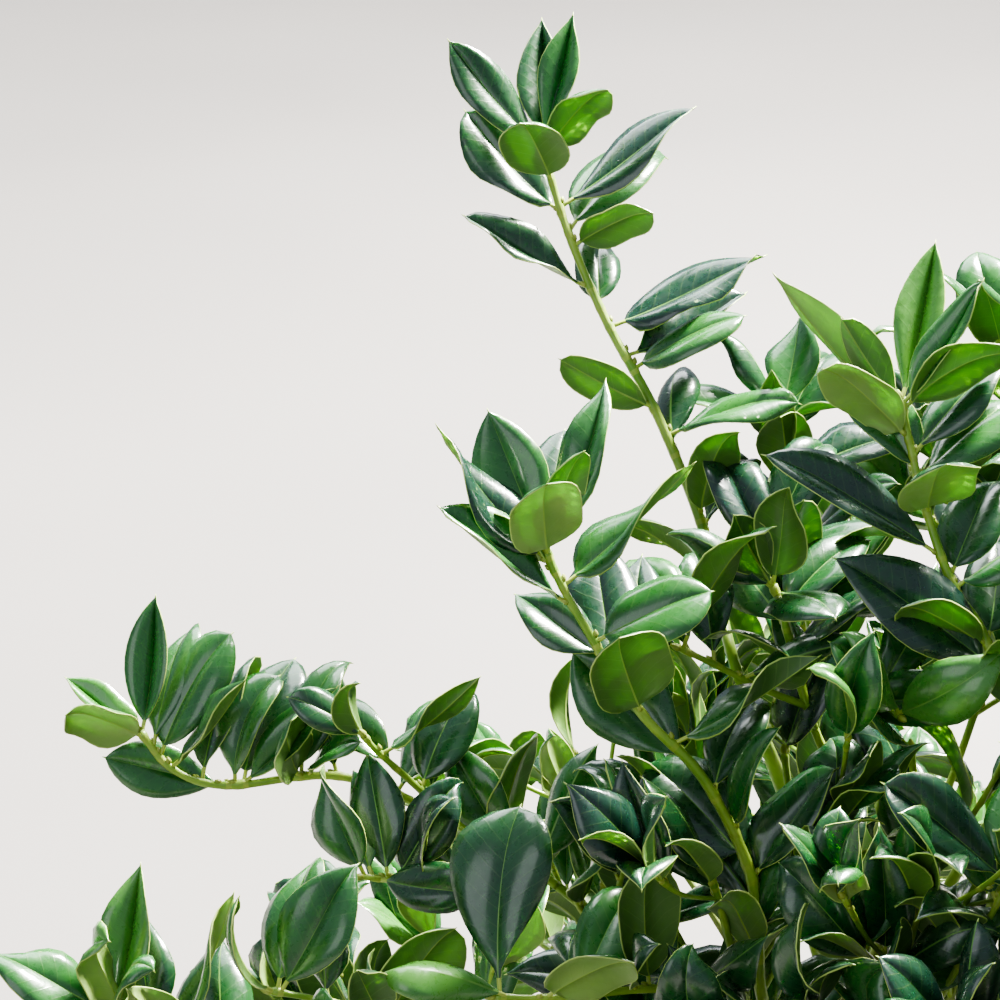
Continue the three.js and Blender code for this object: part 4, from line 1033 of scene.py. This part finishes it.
class Tubes:
    """Closed tubes gathered into one mesh, in mm."""

    def __init__(self):
        self.corners, self.flats, self.loops, self.totals, self.slots = [], [], [], [], []
        self.size = 0

    def add(self, rings, slots=0, ends=(0, 0), flat=None):
        """A tube by its rings' corners: slots from ring to ring and round each, and its ends' slots."""
        count, sides = rings.shape[:2]
        i, j = np.meshgrid(np.arange(count - 1) * sides, np.arange(sides), indexing="ij")
        after = (j + 1) % sides
        quads = np.stack([i + j, i + after, i + sides + after, i + sides + j], axis=-1)
        first = np.arange(sides)
        faces = quads, first[::-1], (count - 1) * sides + first
        self.loops += [part.ravel() + self.size for part in faces]
        self.totals.append([4] * i.size + [sides, sides])
        self.slots += [np.broadcast_to(slots, i.shape).ravel(), ends]
        self.corners.append(rings.reshape(-1, 3))
        if flat is not None:
            self.flats.append(flat.reshape(-1, 2))
        self.size += count * sides

    def make(self, name, materials):
        """One smooth mesh object of them all, with the leaves' own planes as its UV map."""
        gathered = (self.corners, self.loops, self.totals, self.slots)
        corners, loops, totals, slots = (np.concatenate(part) for part in gathered)
        mesh = bpy.data.meshes.new(name)
        mesh.vertices.add(len(corners))
        mesh.vertices.foreach_set("co", (corners * MM).ravel())
        mesh.loops.add(len(loops))
        mesh.loops.foreach_set("vertex_index", loops)
        mesh.polygons.add(len(totals))
        faces = {"loop_start": np.cumsum(totals) - totals, "loop_total": totals, "material_index": slots}
        for setting, values in faces.items():
            mesh.polygons.foreach_set(setting, values)
        mesh.polygons.foreach_set("use_smooth", np.ones(len(totals), bool))
        mesh.update(calc_edges=True)
        mesh.validate()
        for made in materials:
            mesh.materials.append(made)
        if self.flats:
            flats = np.concatenate(self.flats)[loops] / UV_SIZE
            mesh.uv_layers.new(name="flat").data.foreach_set("uv", flats.ravel())
        return placed(name, mesh)


# Green stems, buds and bark: ring spacing, sides and swellings, in mm. A bud's profile holds shares
# of its height and radius, and its size is its radius and height. Of the bark's waves, one coarse
# and one fine, each holds a share of the relief's height, its size and its seed.
STEM_STEP, STEM_SIDES = 2, 8
SLIM = (0.64, 0.84)
NODE_SWELL, NODE_EVEN, NODE_SPAN, NODE_SHOWN = 0.5, 0.3, 1.5, 0.8
BUD_SIDES, BUD_SUNK = 6, 0.3
BUD_PROFILE = np.array([(0, 0.7), (0.3, 1), (0.65, 0.75), (0.92, 0.3), (1, 0.08)])
AXIL_BUD, TIP_BUD = (1.1, 2.6), (1.5, 4.2)
AXIL_FROM, AXIL_RISE, AXIL_LEAN = 7, 1.5, 0.6
TRUNK_RING_STEP, TRUNK_RING_SIDES, TRUNK_RELIEF = 1.2, 64, 0.5
TRUNK_STRETCH, TRUNK_WAVES = (1, 1, 0.45), ((0.7, 4.5, 3), (0.5, 1.9, 5))
LIMB_STEP, LIMB_SIDES, LIMB_RELIEF = 1.3, 16, 0.16
LIMB_WAVES = ((1, 3.2, 7), (0.6, 1.5, 9))
COLLAR, OVERLAP, INSET = 0.32, 1.2, 0.12


def radius_at(twig, share):
    return between(*twig.radii, share) * between(*SLIM, share)


def stem_mesh():
    """All the green stems and twigs, a little swollen where leaves leave them."""
    tubes = Tubes()
    for twig in twigs:
        line, at = evenly(twig.fine, STEM_STEP)
        ways = ring_ways(line, STEM_SIDES)
        radii = np.tile(radius_at(twig, at / at[-1])[:, None], STEM_SIDES)
        along_fine = lengths_of(twig.fine)
        swollen = np.zeros((len(at), 1))
        for leaf in twig.leaves:
            here = np.interp(leaf.place * FINER, np.arange(len(along_fine)), along_fine)
            near = np.exp(-(((at - here) / NODE_SPAN) ** 2))[:, None]
            facing = np.clip(ways @ leaf.outward, 0, 1)
            radii += NODE_SWELL * near * between(NODE_EVEN, 1, facing)
            swollen = np.maximum(swollen, near)
        tubes.add(line[:, None] + ways * radii[..., None], (swollen[1:] > NODE_SHOWN).astype(int))
    return tubes


def bud_mesh():
    """A bud in each leaf's axil and one at each twig's tip."""
    tubes = Tubes()

    def add_bud(foot, way, radius, height):
        line = foot + np.outer(BUD_PROFILE[:, 0] * height, way)
        tubes.add(line[:, None] + ring_ways(line, BUD_SIDES) * (BUD_PROFILE[:, 1] * radius)[:, None, None])

    for leaf in leaves_grown:
        if leaf.back < AXIL_FROM:
            continue
        radius = radius_at(leaf.twig, min(1, leaf.place * FINER / (len(leaf.twig.fine) - 1)))
        foot = leaf_root(leaf) + leaf.outward * (radius - BUD_SUNK) + leaf.tangent * AXIL_RISE
        add_bud(foot, unit(leaf.tangent + leaf.outward * AXIL_LEAN), *AXIL_BUD)
    for twig in twigs:
        way = unit(twig.fine[-1] - twig.fine[-2])
        add_bud(twig.fine[-1] - way * BUD_SUNK, way, *TIP_BUD)
    return tubes


def rough(places, height, scale, seed):
    """Noise at each place, with features of some mm."""
    offset = Vector((seed, seed * 2, seed * 3))
    values = [noise.noise(Vector(place) / scale + offset) for place in places.reshape(-1, 3)]
    return height * np.array(values).reshape(places.shape[:-1])


def bark_mesh():
    """Trunk and limbs, with the bark's relief."""
    tubes = Tubes()
    (_, fine, ends), *limbs = wood.values()
    line, at = evenly(fine, TRUNK_RING_STEP)
    ways = ring_ways(line, TRUNK_RING_SIDES)
    ridges = 1 + FLARE_RIDGE * np.cos(FLARE_LOBES * np.arctan2(-ways[..., 0], ways[..., 1]))
    radii = between(*ends, at / at[-1])[:, None] + FLARE * np.exp(-at / FLARE_HEIGHT)[:, None] * ridges
    surface = line[:, None] + ways * radii[..., None]
    waves = zip((surface * TRUNK_STRETCH, surface), TRUNK_WAVES)
    radii = radii + TRUNK_RELIEF * sum(rough(places, *wave) for places, wave in waves)
    rings = line[:, None] + ways * radii[..., None]
    rings[0, :, 2] = 0
    tubes.add(rings)
    for order, (_, fine, ends) in enumerate(limbs):
        line, at = evenly(fine, LIMB_STEP)
        line = np.vstack([line, line[-1] + unit(line[-1] - line[-2]) * OVERLAP])
        share = np.append(at / at[-1], 1)
        at = np.append(at, at[-1] + OVERLAP)
        ways = ring_ways(line, LIMB_SIDES)
        radii = between(*ends, share) * between(1, SLIM[0], share)
        radii = radii + COLLAR * ends[0] * np.exp(-np.clip(at - ends[0], 0, None) / ends[0])
        radii[-1] -= INSET * 2
        surface = line[:, None] + ways * radii[:, None, None]
        relief = sum(rough(surface, height, scale, order + seed) for height, scale, seed in LIMB_WAVES)
        radii = radii[:, None] + LIMB_RELIEF * (1 - share)[:, None] * relief - INSET * share[:, None]
        tubes.add(line[:, None] + ways * radii[..., None])
    return tubes


# Materials. Clouds have a number of features per metre, a detail and a stretch, and turn from one
# value to the other between two levels. Relief has a strength and a height in metres. Colours are
# 8-bit display values. The veins' spacing is in mm. A colour mix is wired by its sockets' numbers.
MIX_ONE, MIX_TWO, MIX_OUT = 6, 7, 2
PATCH_TURNS, GLOSS_TURNS = (0.35, 0.65), (0.3, 0.7)
VEIN_SLANT, VEIN_SPACING, VEIN_WIDTH, VEIN_COLOUR = 0.8, 5.5, 0.07, (120, 150, 80)
VEIN_RELIEF, VEIN_WANDER, WANDER_CLOUDS = (0.12, 0.0003), 0.03, 90
LEAF_CLOUDS, LEAF_GLOSS_CLOUDS, LEAF_GLOSS_VARIED = 48, (420, 3), (-0.05, 0.07)
LEAF_RELIEF, LEAF_RELIEF_CLOUDS = (0.25, 0.0006), (260, 3)
LEAF_COAT_ROUGHNESS, LEAF_GLOW_REACH = 0.16, (0.9, 1.2, 0.5)
PLANT_GLOSS_FINER, PLANT_GLOSS_VARIED = 4, (-0.06, 0.08)
PLANT_RELIEF, GRAIN_FINER, GRAIN = 0.0004, 9, (3, (1, 1, 0.4))
BARK_RELIEF, BARK_RELIEF_CLOUDS = (0.5, 0.0006), (420, 4, (1, 1, 0.35))

# The bark's layers from the foot out: two colours, their clouds, and where these turn from one to
# the other. The next layer takes over between these distances from the foot, in metres, a little
# unevenly. Last, the roughness of old and of green bark.
STEM_COLOURS = ((112, 148, 48), (146, 172, 68))
BARK_LAYERS = [
    (((98, 90, 74), (142, 134, 114)), 230, 4, (0.4, 0.62)),
    (((92, 94, 50), (122, 118, 74)), 150, 3, (0.4, 0.6)),
    (STEM_COLOURS, 70, 2, (0.4, 0.6)),
]
YOUNG_FROM, GREEN_FROM = (0.13, 0.19), (0.2, 0.27)
BARK_UNEVEN, BARK_UNEVEN_CLOUDS = 0.05, (40, 3)
BARK_ROUGHNESS = (0.8, 0.42)

# The greens of leaves above and below, from dark to bright, and their roughness, coat, how much the
# veins show and how much light glows through. The other surfaces' colours, roughness, clouds and
# relief.
# The first green above also serves as painted shade for shaded leaves, and the third as painted sunlight
# for sunlit ones.
LEAF_LOOKS = {
    "above": ([
        ((14, 44, 34), (20, 58, 34)), ((20, 60, 32), (30, 76, 34)),
        ((34, 84, 36), (48, 102, 42)), ((60, 114, 44), (82, 134, 54)),
    ], 0.29, 0.6, 0.12, 0.2),
    "below": ([
        ((62, 94, 42), (74, 106, 48)), ((82, 114, 52), (94, 126, 58)), ((114, 142, 72), (130, 154, 82)),
    ], 0.46, 0, 0.25, 0.5),
}
PLANT_LOOKS = {
    "leaf_margin": (((148, 172, 84), (176, 192, 110)), 0.4, 120, 0.1),
    "leaf_rib": (((84, 124, 56), (108, 146, 70)), 0.36, 120, 0.1),
    "leaf_rib_below": (((128, 156, 70), (146, 170, 84)), 0.45, 120, 0.1),
    "leaf_stalk": (((150, 170, 66), (176, 188, 92)), 0.38, 120, 0.1),
    "green_stem": (STEM_COLOURS, 0.36, 70, 0.25),
    "stem_node": (((134, 158, 58), (160, 176, 74)), 0.45, 200, 0.3),
    "bud": (((158, 170, 78), (134, 146, 58)), 0.45, 300, 0.2),
    "floor": (((112, 109, 106), (120, 117, 114)), 0.85, 1.2, 0.05),
}


def feed(made, inputs):
    """Gives a shader node its values and links, by the name or number of the socket."""
    for key, value in inputs.items():
        if isinstance(value, bpy.types.NodeSocket):
            made.id_data.links.new(value, made.inputs[key])
        else:
            made.inputs[key].default_value = value


def node(tree, kind, inputs=None, **settings):
    made = tree.nodes.new(kind)
    for key, value in settings.items():
        setattr(made, key, value)
    feed(made, inputs or {})
    return made


def maths(tree, operation, *values):
    return node(tree, "ShaderNodeMath", dict(enumerate(values)), operation=operation).outputs[0]


def mapped(tree, value, source, target=(0, 1)):
    """A value mapped from one range to another, and kept within it."""
    return node(tree, "ShaderNodeMapRange", dict(enumerate((value, *source, *target)))).outputs[0]


def mixed(tree, factor, one, two):
    inputs = {0: factor, MIX_ONE: one, MIX_TWO: two}
    return node(tree, "ShaderNodeMix", inputs, data_type="RGBA").outputs[MIX_OUT]


def clouds(tree, scale, detail=2, stretched=None):
    """Noise in the object's own space."""
    place = node(tree, "ShaderNodeTexCoord").outputs["Object"]
    if stretched:
        place = node(tree, "ShaderNodeMapping", {"Vector": place, "Scale": stretched}).outputs[0]
    inputs = {"Vector": place, "Scale": scale, "Detail": detail}
    return node(tree, "ShaderNodeTexNoise", inputs).outputs["Fac"]


def colour(values):
    parts = [value / 255 for value in values]
    return [*(part / 12.92 if part <= 0.04045 else ((part + 0.055) / 1.055) ** 2.4 for part in parts), 1]


def patches(tree, pair, scale, detail=2, turns=PATCH_TURNS):
    blend = mapped(tree, clouds(tree, scale, detail), turns)
    return mixed(tree, blend, *(colour(values) for values in pair))


def varied(tree, middle, spans, *scale):
    """A roughness that varies in clouds about a middle value."""
    return mapped(tree, clouds(tree, *scale), GLOSS_TURNS, [middle + span for span in spans])


def raised(tree, height, strength, distance, **under):
    inputs = {"Height": height, "Strength": strength, "Distance": distance, **under}
    return node(tree, "ShaderNodeBump", inputs).outputs[0]


def shader(name):
    """A new material, its tree and its Principled shader."""
    made = bpy.data.materials.new(name)
    made.use_nodes = True
    return made, made.node_tree, made.node_tree.nodes["Principled BSDF"]


def side_veins(tree):
    """1 along a leaf's faint side veins, 0 between them, from its own plane's coordinates."""
    place = node(tree, "ShaderNodeUVMap", uv_map="flat").outputs[0]
    parts = node(tree, "ShaderNodeSeparateXYZ", {0: place})
    out = maths(tree, "ABSOLUTE", parts.outputs[0])
    wander = maths(tree, "MULTIPLY", clouds(tree, WANDER_CLOUDS), VEIN_WANDER)
    slanted = maths(tree, "SUBTRACT", parts.outputs[1], maths(tree, "MULTIPLY", out, VEIN_SLANT))
    turns = maths(tree, "MULTIPLY", maths(tree, "ADD", slanted, wander), UV_SIZE / VEIN_SPACING)
    off = maths(tree, "ABSOLUTE", maths(tree, "SUBTRACT", maths(tree, "FRACT", turns), 0.5))
    return mapped(tree, off, (0, VEIN_WIDTH), (1, 0))


def leaf_material(name, pair, roughness, coat, veined, glow):
    """A leaf's surface: two close greens in clouds, faint veins, and a finely uneven gloss."""
    made, tree, principled = shader(name)
    veins = side_veins(tree)
    green = patches(tree, pair, LEAF_CLOUDS)
    uneven = raised(tree, clouds(tree, *LEAF_RELIEF_CLOUDS), *LEAF_RELIEF)
    feed(principled, {
        "Base Color": mixed(tree, maths(tree, "MULTIPLY", veins, veined), green, colour(VEIN_COLOUR)),
        "Roughness": varied(tree, roughness, LEAF_GLOSS_VARIED, *LEAF_GLOSS_CLOUDS),
        "Normal": raised(tree, veins, *VEIN_RELIEF, Normal=uneven),
        "Subsurface Weight": glow,
        "Subsurface Radius": LEAF_GLOW_REACH,
        "Subsurface Scale": MM,
        "Coat Weight": coat,
        "Coat Roughness": LEAF_COAT_ROUGHNESS,
    })
    return made


def plant_material(name, pair, roughness, scale, bump):
    """A smooth green or waxy surface."""
    made, tree, principled = shader(name)
    feed(principled, {
        "Base Color": patches(tree, pair, scale),
        "Roughness": varied(tree, roughness, PLANT_GLOSS_VARIED, scale * PLANT_GLOSS_FINER),
        "Normal": raised(tree, clouds(tree, scale * GRAIN_FINER, *GRAIN), bump, PLANT_RELIEF),
    })
    return made


def bark_material():
    """Grey-brown bark on the trunk, olive further out, and green where the limbs meet the stems."""
    made, tree, principled = shader("bark")
    place = node(tree, "ShaderNodeTexCoord").outputs["Object"]
    from_foot = node(tree, "ShaderNodeVectorMath", {0: place}, operation="LENGTH").outputs["Value"]
    uneven = maths(tree, "MULTIPLY", clouds(tree, *BARK_UNEVEN_CLOUDS), BARK_UNEVEN)
    patchy = maths(tree, "ADD", from_foot, uneven)
    old, young, green = (patches(tree, *layer) for layer in BARK_LAYERS)
    older = mixed(tree, mapped(tree, patchy, YOUNG_FROM), old, young)
    feed(principled, {
        "Base Color": mixed(tree, mapped(tree, patchy, GREEN_FROM), older, green),
        "Roughness": mapped(tree, patchy, (YOUNG_FROM[0], GREEN_FROM[1]), BARK_ROUGHNESS),
        "Normal": raised(tree, clouds(tree, *BARK_RELIEF_CLOUDS), *BARK_RELIEF),
    })
    return made


plants = {name: plant_material(name, *look) for name, look in PLANT_LOOKS.items()}
leaf_materials = [
    leaf_material(f"leaf_{side}_{i + 1}", pair, *look)
    for side, (pairs, *look) in LEAF_LOOKS.items()
    for i, pair in enumerate(pairs)
]
leaf_materials += [plants[name] for name in ("leaf_margin", "leaf_rib", "leaf_rib_below", "leaf_stalk")]

# Leaves, dealt their greens by spray, by chance and by youth, in pieces that hold whole masses.
# Some forms give a leaf's green instead, as painted shade on shaded leaves and painted sunlight on
# sunlit ones.
LEAF_SEED = 20611
YOUNG_BACK = 16
UPPER_DEAL, LOWER_DEAL = (0.38, 0.42, 0.15), (0.3, 0.5, 0.25)
LEAF_TRIANGLES, PIECE_TRIANGLES = 636, 195000


def deal_colours(leaves, rng):
    """The numbers of each leaf's upper and lower materials; a form's own green, painted shade or sunlight,
    comes first.
    """
    tones = {}
    for leaf in leaves:
        tones.setdefault(leaf.twig, rng.random())
    spray = np.array([tones[leaf.twig] for leaf in leaves])
    young = np.exp(-np.array([leaf.back for leaf in leaves]) / YOUNG_BACK)

    def dealt(shares, greens):
        tone = shares[0] * spray + shares[1] * rng.random(len(leaves)) + shares[2] * young
        return np.clip(tone * greens, 0, greens - 1).astype(int)

    upper, under = dealt(UPPER_DEAL, UPPER_GREENS), dealt(LOWER_DEAL, LOWER_GREENS)
    # A form's green overrides the dealt one: painted shade for shaded leaves, painted sunlight for sunlit
    # ones.
    upper = [leaf.form.get("tone", tone) for leaf, tone in zip(leaves, upper)]
    return list(zip(upper, under + UPPER_GREENS))


def leaf_mesh(leaves, rng):
    """Many leaves, each a closed tube from its stalk to its spine."""
    tubes = Tubes()
    colours = deal_colours(leaves, rng)
    for ring, flat, (upper, under) in zip(*Shapes(leaves, rng).rings(), colours):
        tubes.add(ring, leaf_slots(len(ring), upper, under), (STALK_SLOT, MARGIN_SLOT), flat)
    return tubes


rng = np.random.default_rng(LEAF_SEED)
by_mass = {mass.name: [] for mass in masses}
for leaf in leaves_grown:
    by_mass[leaf.twig.mass].append(leaf)
groups, held = [[]], 0
for name, leaves in by_mass.items():
    held += len(leaves)
    if held * LEAF_TRIANGLES > PIECE_TRIANGLES:
        groups.append([])
        held = len(leaves)
    groups[-1].append(name)
for i, names in enumerate(groups):
    leaves = [leaf for name in names for leaf in by_mass[name]]
    piece = leaf_mesh(leaves, rng).make(f"leaves_{i + 1}", leaf_materials)
    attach(piece, "root")
    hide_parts(*names)

stems = stem_mesh().make("green_stems", [plants["green_stem"], plants["stem_node"]])
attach(stems, "root")
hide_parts(*by_mass)

buds = bud_mesh().make("buds", [plants["bud"]])
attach(buds, "root")
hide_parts(*by_mass)

bark = bark_mesh().make("trunk_and_limbs", [bark_material()])
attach(bark, "root")
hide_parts(*wood)

# The floor, the lights and the camera, in metres. Lights are soft squares aimed at the middle of the
# view: direction, distance, size, watts and tint.
FLOOR = 6
LIGHTS = {
    "key": ((0.45, 0.5, 0.75), 2.2, 0.45, 720, (1.0, 0.97, 0.92)),
    "sky": ((-0.15, 0.75, 0.85), 2.4, 2.0, 105, (0.95, 0.98, 1.0)),
    "fill": ((-0.6, -0.9, 0.55), 2.6, 1.8, 18, (0.95, 0.97, 1.0)),
}
SKY_COLOUR, SKY_STRENGTH = (0.72, 0.83, 1.0, 1), 0.54
SENSOR, FURTHEST = 36, 100

floor_mesh = bpy.data.meshes.new("floor")
corners = [(FLOOR * x, FLOOR * y, 0) for x, y in ((-1, -1), (1, -1), (1, 1), (-1, 1))]
floor_mesh.from_pydata(corners, [], [(0, 1, 2, 3)])
floor_mesh.materials.append(plants["floor"])
floor = placed("floor", floor_mesh)

for name, (way, distance, size, power, tint) in LIGHTS.items():
    data = bpy.data.lights.new(name, "AREA")
    data.size, data.energy, data.color = size, power, tint
    lamp = placed(name, data)
    way = Vector(way).normalized()
    lamp.location = Vector(VIEW_CENTRE * MM) + way * distance
    lamp.rotation_euler = way.to_track_quat("Z", "Y").to_euler()

world = bpy.data.worlds.new("sky")
bpy.context.scene.world = world
world.use_nodes = True
feed(world.node_tree.nodes["Background"], {"Color": SKY_COLOUR, "Strength": SKY_STRENGTH})
bpy.context.scene.view_settings.look = "AgX - Medium High Contrast"

lens = bpy.data.cameras.new("camera")
lens.sensor_width = SENSOR
lens.lens = SENSOR * VIEW_DISTANCE / VIEW_WIDTH
lens.clip_end = FURTHEST
camera = placed("camera", lens)
camera.location = Vector((VIEW_CENTRE + VIEW_TOWARDS * VIEW_DISTANCE) * MM)
camera.rotation_euler = (math.pi / 2 - VIEW_DROP, 0, 0)
bpy.context.scene.camera = camera
